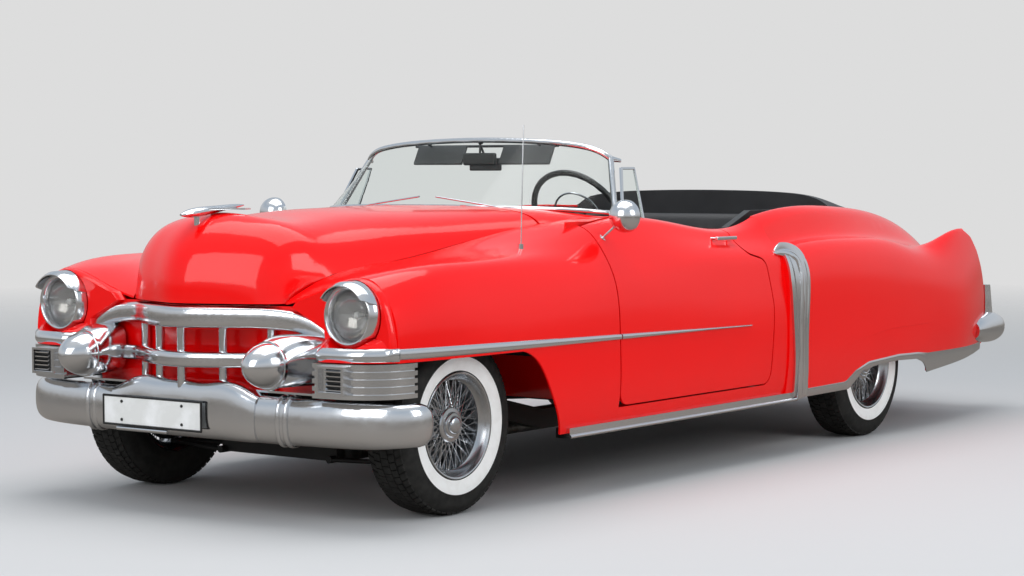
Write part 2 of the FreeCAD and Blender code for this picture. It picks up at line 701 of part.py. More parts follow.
def lid_hinge(edge_y, sign, level, x):
    """A gooseneck arm under a lid and its pin, for a lid whose hinged edge faces sign along Y."""
    pin_y = edge_y + sign * mm.lid_hinge_back
    pin_z = level - mm.lid_hinge_drop
    thick = mm.lid_arm_thick
    depth = mm.lid_arm_depth
    lip_y = edge_y - sign * mm.lid_hinge_back * 0.6
    x0 = x - thick / 2
    x1 = x + thick / 2
    eye = Part.makeCylinder(mm.lid_pin_radius * 2, thick, Vector(x0, pin_y, pin_z), LEFT)
    bore = Part.makeCylinder(mm.lid_pin_radius + mm.fit_gap, thick, Vector(x0, pin_y, pin_z), LEFT)
    low = pin_z - depth
    neck = [block(x0, x1, min(a, b), max(a, b), z0, z1) for a, b, z0, z1 in (
        (pin_y - thick, pin_y + thick, low, pin_z),
        (pin_y + sign * thick, lip_y - sign * thick, low, low + thick * 2),
        (lip_y - sign * thick, lip_y + sign * thick, low, level - mm.skin / 2))]
    arm = fused([eye] + neck).cut(bore)
    pin = Part.makeCylinder(mm.lid_pin_radius, thick * 2.5, Vector(x0 - thick * 1.5, pin_y, pin_z), LEFT)
    lug = block(x0 - thick * 1.5, x0 - mm.fit_gap * 2, pin_y - thick, pin_y + thick, pin_z - thick,
                level - mm.skin / 8)
    return arm, fused([pin, lug])


hood_skin = crowned_panel(hood_sections())
HOOD_LEVEL = mm.cowl_height
hood_arm, hood_pin = lid_hinge(-mm.hood_rear, 1, HOOD_LEVEL, mm.lid_hinge_half)
node("hood", fused([hood_skin, hood_arm, mirrored(hood_arm)]))


def cowl_sections():
    sections = []
    for share, height in ((0.0, 1.0), (0.33, 0.997), (0.66, 0.990), (1.0, 0.985)):
        front = -mm.hood_rear + mm.lid_gap
        y = front + share * (-mm.screen_side_y - front)
        half, edge = hood_seam(y)
        sections.append((Vector(0, y, 0), UP, half - mm.fit_gap, height * mm.cowl_height, edge))
    return sections


def screen_curve(half, middle, side, inset, points_share):
    """One edge of the windshield, bowed in plan, in the plane through its middle and sides.
    middle and side hold Y and Z."""
    slope = (side[1] - middle[1]) / (side[0] - middle[0])
    points = []
    for across, along in points_share:
        y = middle[0] + inset + along * (side[0] - middle[0] - inset)
        points.append(Vector(across * (half - inset), y, middle[1] + slope * (y - middle[0])))
    return points


SCREEN_SHARES = [(-1.0, 1.0), (-0.93, 0.62), (-0.78, 0.32), (-0.45, 0.09), (0.0, 0.0),
                 (0.45, 0.09), (0.78, 0.32), (0.93, 0.62), (1.0, 1.0)]
SCREEN_SIDE_Z = 0.9705 * mm.cowl_height
HEAD_SIDE_Z = mm.screen_top_z - 0.076 * mm.cowl_height


def screen_edges(inset):
    base = screen_curve(mm.screen_base_half, (-mm.screen_base_y, mm.screen_base_z),
                        (-mm.screen_side_y, SCREEN_SIDE_Z), inset, SCREEN_SHARES)
    head = screen_curve(mm.screen_top_half, (-mm.screen_top_y, mm.screen_top_z),
                        (-mm.screen_head_y, HEAD_SIDE_Z), inset, SCREEN_SHARES)
    return base, head


def make_screen():
    """The wrapped windshield glass between its base and header curves."""
    outer_base, outer_head = screen_edges(0)
    inner_base, inner_head = screen_edges(mm.glass_thick)
    wires = [band_wire(outer_base, inner_base), band_wire(outer_head, inner_head)]
    return Part.makeLoft(wires, True, True)


def pipe(edge, radius):
    """A round bar swept along one edge."""
    start = edge.valueAt(edge.FirstParameter)
    way = edge.tangentAt(edge.FirstParameter)
    ring = Part.Wire([Part.makeCircle(radius, start, way)])
    return Part.Wire([edge]).makePipeShell([ring], True, False)


screen = make_screen()
base_points, head_points = screen_edges(mm.glass_thick / 2)


def make_frame():
    """The bright frame round the windshield, grooved for the glass."""
    radius = mm.frame_radius
    base = pipe(spline(base_points), radius * 0.75)
    head = pipe(spline(head_points), radius)
    posts = [rod(base_points[index], head_points[index], radius) for index in (0, -1)]
    knobs = [Part.makeSphere(radius, point) for point in (head_points[0], head_points[-1],
                                                          base_points[0], base_points[-1])]
    tails = []
    for index, side in ((0, -1), (-1, 1)):
        tip = head_points[index] + Vector(side * 0.022, 0.042, -0.008) * HALF_WIDTH
        tails.append(Part.makeCone(radius, radius * 0.6, head_points[index].distanceToPoint(tip),
                                   head_points[index], tip - head_points[index]))
    return fused([base, head] + posts + knobs + tails)


frame = make_frame()
node("windshield_frame", solids_of(frame.cut(screen)))
node("windshield_glass", screen)


# Cowl with the firewall, hinge posts and kick panels

def screen_region(inset):
    """Everything behind the windshield's base curve, seen from above."""
    base = [Vector(point.x, point.y + inset, 0) for point in base_points]
    rear_left = Vector(FAR, 0, 0)
    rear_right = Vector(-FAR, 0, 0)
    edges = [spline(base), line(base[-1], rear_left), line(rear_left, rear_right),
             line(rear_right, base[0])]
    return Part.Face(Part.Wire(edges)).extrude(UP * TOP * 2)


def make_cowl():
    top = crowned_panel(cowl_sections()).cut(screen_region(-mm.frame_radius * 0.75 - mm.fit_gap))
    side = mm.door_inner_top - mm.shut_gap * 2
    low = mm.floor_height + mm.floor_thick + mm.fit_gap
    wall = mm.skin
    firewall = block(-side, side, -mm.firewall_y, -mm.firewall_y + wall, low, 0.93 * mm.cowl_height)
    rear = -mm.screen_side_y + 0.02 * HALF_WIDTH
    kick = block(side - wall, side, HINGE_Y - wall * 2, rear, low, 0.945 * mm.cowl_height)
    post = block(side - wall, POST_OUTER, HINGE_Y - wall * 3, -mm.door_front - mm.door_gap - mm.skin,
                 low, 0.78 * mm.cowl_height)
    shoulder = side_skin.common(block(0, side, FENDER_REAR + mm.fit_gap, rear, 0, TOP))
    brace = block(POST_OUTER - wall, 0.955 * HALF_WIDTH, HINGE_Y - wall * 4, HINGE_Y - wall * 2,
                  low, mm.hinge_low - mm.hinge_wall * 3)
    shelf = block(-side, side, -mm.firewall_y, -mm.firewall_y + wall * 3,
                  0.93 * mm.cowl_height - wall, 0.945 * mm.cowl_height)
    halves = [kick, post, shoulder.cut(frame), brace, hood_pin]
    halves += [door_hinge_pin(level) for level in HINGE_LEVELS]
    whole = fused([top, firewall, shelf] + halves + [mirrored(piece) for piece in halves])
    return solids_of(whole.cut(made("front_fender_left")).cut(made("front_fender_right")))


node("cowl", make_cowl())


# Rear deck: top cover, the fixed panel behind it and the trunk lid

def deck_section(y, height, gap):
    half, edge = deck_seam(y)
    return (Vector(0, y, 0), UP, half - gap, height * mm.cowl_height, edge)


def deck_panel(start, end, gap, heights):
    sections = []
    for index, height in enumerate(heights):
        y = start + index / (len(heights) - 1) * (end - start)
        sections.append(deck_section(y, height, gap))
    return crowned_panel(sections)


COVER_HEIGHTS = [1.040, 1.036, 1.016, 0.985]


def cover_apron():
    """The front wall of the top cover, down behind the rear seat."""
    y = mm.cover_front
    section = deck_section(y, COVER_HEIGHTS[0], mm.shut_gap)
    arch = arch_section(*section, mm.skin / 2)
    low = 0.92 * mm.cowl_height
    corners = [Vector(arch[-1].x, y, low), Vector(arch[0].x, y, low)]
    edges = [spline(arch), line(arch[-1], corners[0]), line(corners[0], corners[1]),
             line(corners[1], arch[0])]
    return Part.Face(Part.Wire(edges)).extrude(BACK * mm.skin)


cover_skin = fused([deck_panel(mm.cover_front, mm.cover_rear, mm.shut_gap, COVER_HEIGHTS), cover_apron()])
cover_arm, cover_pin = lid_hinge(mm.cover_rear, 1, 0.973 * mm.cowl_height, mm.cover_hinge_half)
node("top_cover", fused([cover_skin, cover_arm, mirrored(cover_arm)]))

TRUNK_NOSE_SHARES = [(66, 0.541, 0.430, 0.330), (44, 0.531, 0.425, 0.300), (22, 0.525, 0.405, 0.270),
                     (0, 0.521, 0.385, 0.250)]


def trunk_sections():
    sections = []
    for share, height in ((0.0, 0.956), (0.33, 0.945), (0.66, 0.925), (1.0, 0.893)):
        y = mm.trunk_front + share * (mm.trunk_pivot_y - mm.trunk_front)
        sections.append(deck_section(y, height, mm.shut_gap))
    pivot = Vector(0, mm.trunk_pivot_y, mm.trunk_pivot_z)
    for angle, half, top, edge in TRUNK_NOSE_SHARES:
        sections.append((pivot, turned(angle, 1), half * HALF_WIDTH - mm.shut_gap, top * HALF_WIDTH,
                         edge * HALF_WIDTH))
    return sections


trunk_skin = crowned_panel(trunk_sections())
trunk_arm, trunk_pin = lid_hinge(mm.trunk_front, -1, 0.956 * mm.cowl_height, mm.lid_hinge_half)
node("trunk_lid", fused([trunk_skin, trunk_arm, mirrored(trunk_arm)]))

deck_skin = deck_panel(mm.cover_rear + mm.lid_gap, mm.trunk_front - mm.lid_gap, mm.fit_gap * 2,
                       [0.972, 0.968, 0.963, 0.957])
deck_skin = solids_of(deck_skin.cut(made("quarter_panel_left")).cut(made("quarter_panel_right")))
node("deck_panel", fused([deck_skin, cover_pin, mirrored(cover_pin), trunk_pin, mirrored(trunk_pin)]))


def plan_band(rows, low, high, wall):
    """A panel through outlines seen from above, each row a list of shares across and along."""
    outer = []
    inner = []
    count = len(rows)
    for index, row in enumerate(rows):
        z = low + index / (count - 1) * (high - low)
        places = [(x * HALF_WIDTH, y * HALF_WIDTH) for x, y in row]
        outer.append([Vector(x, y, z) for x, y in places])
        inner.append([Vector(x, y, z) for x, y in offset_places(places, wall)])
    return sheet_solid(outer, inner)


def mirror_row(half_row):
    """A symmetric row from its middle point outwards."""
    return [(-x, y) for x, y in half_row[:0:-1]] + list(half_row)


TAIL_ROWS = [mirror_row([(0.0, 2.46), (0.25, 2.458), (0.45, 2.455), (0.60, 2.4525)]),
             mirror_row([(0.0, 2.49), (0.25, 2.485), (0.45, 2.468), (0.60, 2.4525)]),
             mirror_row([(0.0, 2.52), (0.25, 2.512), (0.45, 2.483), (0.60, 2.4525)])]
tail_band = plan_band(TAIL_ROWS, 0.33 * mm.cowl_height, mm.trunk_pivot_z - mm.lid_gap, mm.skin)
node("tail_panel", largest(tail_band.cut(made("quarter_panel_left")).cut(made("quarter_panel_right"))))

NOSE_ROW = mirror_row([(0.0, -2.589), (0.165, -2.537), (0.325, -2.458), (0.45, -2.453), (0.62, -2.453)])


def make_nose():
    """The panel under the hood's lip, the wall behind the grille bars and the shelf between."""
    lip = plan_band([NOSE_ROW] * 3, 0.615 * mm.cowl_height, mm.hood_pivot_z - mm.lid_gap, -mm.skin)
    wall_shares = [(-0.60, -2.432), (-0.38, -2.442), (0.38, -2.442), (0.60, -2.432)]
    front = [(x * HALF_WIDTH, y * HALF_WIDTH) for x, y in wall_shares]
    rear = [(x, y + mm.skin) for x, y in front[::-1]]
    wall = prism("z", front + rear, 0.42 * mm.cowl_height, 0.625 * mm.cowl_height)
    edge = [(x * HALF_WIDTH, y * HALF_WIDTH + mm.skin / 2) for x, y in NOSE_ROW]
    shelf = prism("z", edge + rear, 0.618 * mm.cowl_height, 0.618 * mm.cowl_height + mm.skin)
    whole = fused([lip, wall, shelf])
    return largest(whole.cut(made("front_fender_left")).cut(made("front_fender_right")))


# Wheels and tyres

def revolved(profile, axis_point, axis):
    return Part.Face(profile).revolve(axis_point, axis, 360)


def tyre_shape():
    """A bias-ply tyre: bead, rounded sidewalls and a flat tread, turned about X."""
    half = mm.tyre_width / 2
    bead = mm.rim_width / 2 - mm.rim_wall - mm.fit_gap
    tread = mm.tread_width / 2
    height = mm.tyre_radius - mm.rim_radius
    low = mm.rim_radius + mm.fit_gap

    def place(x, share):
        return Vector(x, 0, low + share * height)

    right = [place(bead, 0), place(bead, 0.10), place(0.93 * half, 0.27), place(half, 0.47),
             place(0.965 * half, 0.68), place(0.86 * half, 0.87), place(tread, 0.955)]
    left = [Vector(-p.x, p.y, p.z) for p in right]
    crown = Vector(0, 0, mm.tyre_radius)
    edges = [spline(right[1:]), Part.Arc(right[-1], crown, left[-1]).toShape(), spline(left[:0:-1]),
             line(left[1], left[0]), line(left[0], right[0]), line(right[0], right[1])]
    return revolved(Part.Wire(edges), ORIGIN, LEFT)


def ring(profile):
    """A solid turned about X from pairs of place along X and radius."""
    points = [Vector(x, 0, r) for x, r in profile]
    return revolved(Part.makePolygon(points + [points[0]]), ORIGIN, LEFT)


def wheel_shape():
    """A wire wheel: drop-centre rim, crossed spokes, stepped hub and brake drum."""
    half = mm.rim_width / 2
    wall = mm.rim_wall
    seat = mm.rim_radius
    lip = seat + mm.rim_flange
    well = seat - 0.11 * seat
    rim = ring([(half, lip), (half - wall, lip), (half - wall, seat), (0.42 * half, seat - wall / 2),
                (0.30 * half, well), (-0.30 * half, well), (-0.42 * half, seat - wall / 2),
                (wall - half, seat), (wall - half, lip), (-half, lip), (-half, seat - wall),
                (-0.48 * half, seat - wall * 1.6), (-0.36 * half, well - wall),
                (0.36 * half, well - wall), (0.48 * half, seat - wall * 1.6), (half, seat - wall)])
    reach = mm.hub_reach
    inner = -mm.drum_offset + mm.drum_width
    bore = mm.spindle_radius + mm.fit_gap
    hub = ring([(inner, bore), (inner, mm.hub_flange), (inner + wall, mm.hub_flange),
                (inner + wall * 2, mm.hub_radius), (0.55 * reach, mm.hub_radius),
                (0.60 * reach, mm.hub_flange * 0.8), (0.66 * reach, mm.hub_flange * 0.8),
                (0.72 * reach, mm.hub_cap_radius), (0.93 * reach, mm.hub_cap_radius),
                (reach, mm.hub_cap_radius * 0.8), (reach, 0), (0.5 * reach, 0), (0.5 * reach, bore)])
    drum = ring([(-mm.drum_offset, mm.drum_radius - wall), (-mm.drum_offset, mm.drum_radius),
                 (inner, mm.drum_radius), (inner, bore), (inner - wall, bore),
                 (inner - wall, mm.drum_radius - wall)])
    pieces = [rim, hub, drum]
    thick = mm.spoke_thick
    for layer, (hub_x, hub_r, rim_x, rim_r, count) in enumerate((
            (0.63 * reach, mm.hub_flange * 0.74, 0.62 * half, seat - wall * 1.2, 20),
            (inner + wall / 2, mm.hub_flange * 0.9, 0.06 * half, well - wall / 2, 20))):
        for index in range(count):
            angle = 360.0 * (index + 0.5 * layer) / count
            lean = 24 if index % 2 else -24
            inner_end = Rotation(LEFT, angle + lean).multVec(Vector(hub_x, 0, hub_r))
            outer_end = Rotation(LEFT, angle).multVec(Vector(rim_x, 0, rim_r))
            way = outer_end - inner_end
            bar = Part.makeBox(thick, thick, way.Length, Vector(-thick / 2, -thick / 2, 0))
            bar.Placement = FreeCAD.Placement(inner_end, Rotation(UP, way))
            pieces.append(bar)
    return fused(pieces)


TYRE = tyre_shape()
WHEEL = wheel_shape()
AXLES = (("front", FRONT_AXLE, mm.front_half_track), ("rear", REAR_AXLE, mm.rear_half_track))
for end_name, axle_y, half_track in AXLES:
    for side_name, side in (("left", 1), ("right", -1)):
        for piece_name, piece in (("tyre", TYRE), ("wheel", WHEEL)):
            placed = piece.copy() if side > 0 else mirrored(piece)
            placed.translate(Vector(side * half_track, axle_y, mm.tyre_radius))
            node("%s_%s_%s" % (piece_name, end_name, side_name), placed)


# Axles, knuckles and chassis

KINGPIN_X = mm.front_half_track - mm.hub_flange - mm.spindle_radius
PLATE_X = mm.drum_offset + mm.shut_gap


def brake_plate(half_track, y):
    """The plate behind the drum and the spindle through it."""
    x0 = half_track - PLATE_X - mm.rim_wall
    plate = Part.makeCylinder(mm.drum_radius, mm.rim_wall, Vector(x0, y, mm.tyre_radius), LEFT)
    end = half_track + mm.hub_reach * 0.5 - mm.fit_gap
    shaft = rod(Vector(x0, y, mm.tyre_radius), Vector(end, y, mm.tyre_radius), mm.spindle_radius)
    return [plate, shaft]


PIN_REACH = mm.drum_radius * 1.12
PIN_RADIUS = mm.hub_cap_radius / 3


def make_knuckle():
    y = FRONT_AXLE
    z = mm.tyre_radius
    thick = mm.hub_cap_radius
    low = z - mm.drum_radius * 0.85
    x1 = mm.front_half_track - PLATE_X - mm.rim_wall / 2
    upright = block(KINGPIN_X - thick / 2, x1, y - thick, y + thick, low, z + mm.drum_radius * 0.85)
    arm = block(KINGPIN_X - thick / 2, KINGPIN_X + thick / 4, y, y + mm.drum_radius * 0.7,
                low, z - mm.drum_radius * 0.6)
    pin = rod(Vector(KINGPIN_X, y, z - PIN_REACH), Vector(KINGPIN_X, y, z + PIN_REACH), PIN_RADIUS)
    return fused([upright, arm, pin] + brake_plate(mm.front_half_track, y))


pair_nodes("knuckle", make_knuckle())

RAIL_HALF = 0.27 * mm.drum_radius
# Rail stations: share of wheelbase behind the front axle, shares of half width and cowl height.
RAIL_SHARES = [(-0.150, 0.34, 0.375), (-0.06, 0.365, 0.375), (0.115, 0.37, 0.36), (0.25, 0.60, 0.246),
               (0.85, 0.60, 0.246), (0.93, 0.545, 0.345), (1.0, 0.535, 0.425), (1.09, 0.53, 0.40),
               (1.38, 0.52, 0.365)]


def rail_loft(shares, half_x, half_z):
    wires = []
    for along, across, height in shares:
        y = FRONT_AXLE + along * mm.wheelbase
        x = across * HALF_WIDTH
        z = height * mm.cowl_height
        corners = [Vector(x - half_x, y, z - half_z), Vector(x + half_x, y, z - half_z),
                   Vector(x + half_x, y, z + half_z), Vector(x - half_x, y, z + half_z)]
        wires.append(Part.makePolygon(corners + [corners[0]]))
    return Part.makeLoft(wires, True, True)


ENGINE_HALF = 0.30 * HALF_WIDTH
TANK_TOP = 0.40 * mm.cowl_height


def make_frame_rails():
    rail = rail_loft(RAIL_SHARES, RAIL_HALF, RAIL_HALF)
    cross_member = rail_loft([(0.34, 0.58, 0.246), (0.55, 0.05, 0.246), (0.60, 0.05, 0.246),
                              (0.80, 0.58, 0.246)], RAIL_HALF, RAIL_HALF * 0.8)
    width = 0.34 * HALF_WIDTH
    bars = [block(-width, width, FRONT_AXLE - 0.150 * mm.wheelbase, FRONT_AXLE - 0.135 * mm.wheelbase,
                  0.35 * mm.cowl_height, 0.40 * mm.cowl_height),
            block(-0.52 * HALF_WIDTH, 0.52 * HALF_WIDTH, REAR_AXLE + 0.36 * mm.wheelbase,
                  REAR_AXLE + 0.38 * mm.wheelbase, 0.34 * mm.cowl_height, 0.39 * mm.cowl_height),
            block(-0.53 * HALF_WIDTH, 0.53 * HALF_WIDTH, REAR_AXLE + 0.14 * mm.wheelbase,
                  REAR_AXLE + 0.16 * mm.wheelbase, 0.37 * mm.cowl_height, 0.41 * mm.cowl_height),
            block(-0.53 * HALF_WIDTH, 0.53 * HALF_WIDTH, REAR_AXLE + 0.25 * mm.wheelbase,
                  REAR_AXLE + 0.27 * mm.wheelbase, TANK_TOP + mm.fit_gap, 0.425 * mm.cowl_height),
            block(-0.1 * HALF_WIDTH, 0.1 * HALF_WIDTH, FRONT_AXLE + 0.55 * mm.wheelbase,
                  FRONT_AXLE + 0.60 * mm.wheelbase, 0.22 * mm.cowl_height, 0.27 * mm.cowl_height)]
    mount = block(ENGINE_HALF + mm.fit_gap, 0.37 * HALF_WIDTH, FRONT_AXLE + 0.09 * mm.wheelbase,
                  FRONT_AXLE + 0.115 * mm.wheelbase, 0.34 * mm.cowl_height, 0.385 * mm.cowl_height)
    return fused(both(rail) + both(cross_member) + both(mount) + bars)


node("chassis_frame", make_frame_rails())


def make_front_suspension():
    """Cross member, wishbones and coil springs of the front axle."""
    y = FRONT_AXLE
    eye_tall = mm.spindle_radius
    low = mm.tyre_radius - PIN_REACH + eye_tall / 2
    high = mm.tyre_radius + PIN_REACH - eye_tall / 2
    inner = 0.30 * HALF_WIDTH
    beam = block(-inner, inner, y - mm.drum_radius * 0.6, y + mm.drum_radius * 0.6, low - eye_tall / 2,
                 low + mm.drum_radius * 0.3)
    pieces = [beam]
    eyes = []
    for side in (1, -1):
        for level in (low, high):
            pieces.append(rod(Vector(side * inner * 0.95, y - mm.drum_radius * 0.8, level),
                              Vector(side * inner * 0.95, y + mm.drum_radius * 0.8, level),
                              mm.spindle_radius * 0.8))
            pin_place = Vector(side * KINGPIN_X, y, level)
            pieces.append(Part.makeCylinder(PIN_RADIUS * 1.9, eye_tall, pin_place - UP * eye_tall / 2))
            eyes.append(Part.makeCylinder(PIN_RADIUS + mm.fit_gap, eye_tall, pin_place - UP * eye_tall / 2))
            for reach in (-1, 1):
                start = Vector(side * inner * 0.95, y + reach * mm.drum_radius * 0.75, level)
                end = pin_place + Vector(-side * PIN_RADIUS, reach * PIN_RADIUS, 0)
                pieces.append(rod(start, end, eye_tall / 2))
        pieces.append(rod(Vector(side * inner * 0.97, y, low), Vector(side * inner * 0.97, y, high),
                          mm.hub_flange * 0.7))
    return fused(pieces).cut(Part.makeCompound(eyes))


front_suspension = make_front_suspension()
node("front_suspension", solids_of(front_suspension.cut(NODES[-1].Shape)))


def make_rear_axle():
    y = REAR_AXLE
    z = mm.tyre_radius
    end = mm.rear_half_track - PLATE_X - mm.rim_wall / 2
    tube = rod(Vector(-end, y, z), Vector(end, y, z), mm.hub_radius * 0.9)
    housing = mm.drum_radius * 0.85
    ball = block(-housing, housing, y - housing * 0.7, y + housing * 0.7, z - housing, z + housing)
    ball = ball.makeFillet(housing * 0.6, ball.Edges)
    shaft = rod(Vector(0, y, z), Vector(0, y - 0.383 * mm.wheelbase, z - mm.hub_radius), mm.hub_radius * 0.8)
    springs = [block(x - mm.spindle_radius * 1.6, x + mm.spindle_radius * 1.6, y - 0.2 * mm.wheelbase,
                     y + 0.2 * mm.wheelbase, z - mm.hub_radius * 1.4, z - mm.hub_radius * 0.6)
               for x in (-0.45 * HALF_WIDTH, 0.45 * HALF_WIDTH)]
    return fused([tube, ball, shaft] + springs + [piece for side in brake_plate(mm.rear_half_track, y)
                                                  for piece in both(side)])


node("rear_axle", solids_of(make_rear_axle().cut(made("chassis_frame"))))
node("engine", block(-ENGINE_HALF, ENGINE_HALF, FRONT_AXLE + 0.055 * mm.wheelbase,
                     -mm.firewall_y - mm.cut_margin, 0.30 * mm.cowl_height, 0.82 * mm.cowl_height,
                     mm.cut_margin / 2))


# Bumpers, bullets and grille

def superellipse(centre, across, up, half_across, half_up, power=2.6, count=16):
    """A closed rounded section in the plane of two directions."""
    points = []
    for index in range(count):
        angle = 2 * math.pi * index / count
        c = math.cos(angle)
        s = math.sin(angle)
        a = math.copysign(abs(c) ** (2 / power), c) * half_across
        b = math.copysign(abs(s) ** (2 / power), s) * half_up
        points.append(centre + across * a + up * b)
    return closed_spline(points)


def swept_sections(path, sizes, power=2.6):
    """A bar lofted through rounded sections square to its path. sizes holds half depth and
    half height at each point."""
    wires = []
    last = len(path) - 1
    for index, centre in enumerate(path):
        way = (path[min(index + 1, last)] - path[max(index - 1, 0)]).normalize()
        across = way.cross(UP).normalize()
        up = across.cross(way)
        deep, tall = sizes[index]
        wires.append(superellipse(centre, across, up, deep, tall, power))
    return Part.makeLoft(wires, True, False)


def symmetric(half_list, flip):
    """A list from right to left, from its middle entry outwards."""
    return [flip(entry) for entry in half_list[:0:-1]] + list(half_list)


# Front bumper path: shares of half width across and of half length forward, and its fullness.
FRONT_BAR_SHARES = [(0.0, 0.930, 1.0), (0.22, 0.9285, 1.0), (0.42, 0.925, 1.0), (0.60, 0.919, 1.0),
                    (0.76, 0.909, 1.0), (0.87, 0.894, 0.97), (0.930, 0.875, 0.92), (0.946, 0.851, 0.82),
                    (0.948, 0.843, 0.55)]
# Raised centre: share of half width across, then how much deeper, taller and higher it is.
RAISED_SHARES = [(0.0, 1.22, 1.27, 0.27), (0.15, 1.22, 1.27, 0.27), (0.255, 1.20, 1.24, 0.24),
                 (0.320, 1.10, 1.10, 0.10), (0.370, 0.97, 0.97, 0.0)]
RAISED_Y = -0.928 * HALF_LENGTH


def make_front_bumper():
    deep = mm.bumper_deep / 2
    tall = mm.bumper_tall / 2
    half = [Vector(x * HALF_WIDTH, -y * HALF_LENGTH, mm.bumper_z) for x, y, full in FRONT_BAR_SHARES]
    path = symmetric(half, lambda point: Vector(-point.x, point.y, point.z))
    sizes = symmetric([(deep * full, tall * full) for x, y, full in FRONT_BAR_SHARES], lambda size: size)
    pieces = [swept_sections(path, sizes)]
    step = mm.guard_width * 0.55
    for side in (-1, 1):
        for middle in (mm.guard_x - step, mm.guard_x + step):
            wires = []
            for offset, proud in ((-0.30, 0.4), (0, 1.0), (0.30, 0.4)):
                centre = Vector(side * middle + offset * mm.guard_width, -0.9225 * HALF_LENGTH, mm.bumper_z)
                wires.append(superellipse(centre, BACK, UP, deep + mm.guard_proud * proud,
                                          tall + mm.guard_proud * proud))
            pieces.append(Part.makeLoft(wires, True, False))
    wires = []
    for x, deeper, taller, lift in symmetric(RAISED_SHARES, lambda entry: (-entry[0],) + entry[1:]):
        centre = Vector(x * HALF_WIDTH, RAISED_Y, mm.bumper_z + lift * tall)
        wires.append(superellipse(centre, BACK, UP, deep * deeper, tall * taller, 3.2))
    pieces.append(Part.makeLoft(wires, True, False))
    # The pad for the number plate, beside the middle
    face = RAISED_Y - deep * RAISED_SHARES[0][1] - mm.skin
    pieces.append(block(-0.24 * HALF_WIDTH, 0.04 * HALF_WIDTH, face, RAISED_Y, mm.bumper_z - tall * 0.45,
                        mm.bumper_z + tall * 0.45))
    # Brackets back to the frame rails
    for side in (-1, 1):
        x = side * 0.34 * HALF_WIDTH
        pieces.append(block(x - mm.spindle_radius, x + mm.spindle_radius, -0.920 * HALF_LENGTH,
                            FRONT_AXLE - 0.150 * mm.wheelbase - mm.fit_gap, 0.35 * mm.cowl_height,
                            0.375 * mm.cowl_height))
    return fused(pieces)


front_bumper = make_front_bumper()
node("front_bumper", front_bumper)


# Bullet body: share of its length, then shift outwards, lift, width and height as shares of the
# bullet's radius, and how square its section is.
BULLET_SHARES = [(0.06, 0.0, 0.03, 1.0, 1.02, 2.1), (0.30, 0.08, 0.12, 1.06, 1.10, 2.8),
                 (0.62, 0.32, 0.16, 1.12, 1.12, 3.4), (1.0, 0.66, 0.16, 1.12, 1.10, 3.8)]


def make_bullet(side):
    """A bullet: a rounded nose on a body that squares up and turns outwards to the fender."""
    tip = -HALF_LENGTH
    nose = mm.bullet_nose
    radius = mm.bullet_radius
    x = side * mm.bullet_x
    z = mm.bullet_z
    profile = [Vector(x, tip, z), Vector(x + radius * 0.30, tip + nose * 0.06, z),
               Vector(x + radius * 0.62, tip + nose * 0.27, z),
               Vector(x + radius * 0.88, tip + nose * 0.60, z),
               Vector(x + radius, tip + nose, z)]
    base = Vector(x, tip + nose, z)
    face = Part.Face(Part.Wire([spline(profile), line(profile[-1], base), line(base, profile[0])]))
    dome = face.revolve(Vector(x, 0, z), BACK, 360)
    collar = Part.makeCylinder(radius * 1.05, nose * 0.12, base, BACK)
    wires = []
    for share, shift, lift, wide, tall, power in BULLET_SHARES:
        centre = Vector(x + side * shift * radius, tip + nose + share * mm.bullet_body, z + lift * radius)
        wires.append(superellipse(centre, LEFT, UP, radius * wide, radius * tall, power))
    return fused([dome, collar, Part.makeLoft(wires, True, False)])


# The grille bars' bow: shares of half width across and back from the middle.
BOW_SHARES = [(0.0, 0.0), (0.085, 0.017), (0.165, 0.052), (0.245, 0.098), (0.325, 0.136), (0.45, 0.168),
              (0.56, 0.178), (0.625, 0.182)]


def bow(x):
    """How far back the bars lie at a place across the car."""
    share = abs(x) / HALF_WIDTH
    for (x0, y0), (x1, y1) in zip(BOW_SHARES, BOW_SHARES[1:]):
        if share <= x1:
            return (y0 + (y1 - y0) * (share - x0) / (x1 - x0)) * HALF_WIDTH
    return BOW_SHARES[-1][1] * HALF_WIDTH


def bar_path(z, count, drop=0.0):
    """A grille bar's path over the first entries of the bow; its ends may drop."""
    reach = BOW_SHARES[count - 1][0]
    half = []
    for x, back in BOW_SHARES[:count]:
        half.append(Vector(x * HALF_WIDTH, -mm.grille_front + back * HALF_WIDTH, z - drop * (x / reach) ** 6))
    return symmetric(half, lambda point: Vector(-point.x, point.y, point.z))


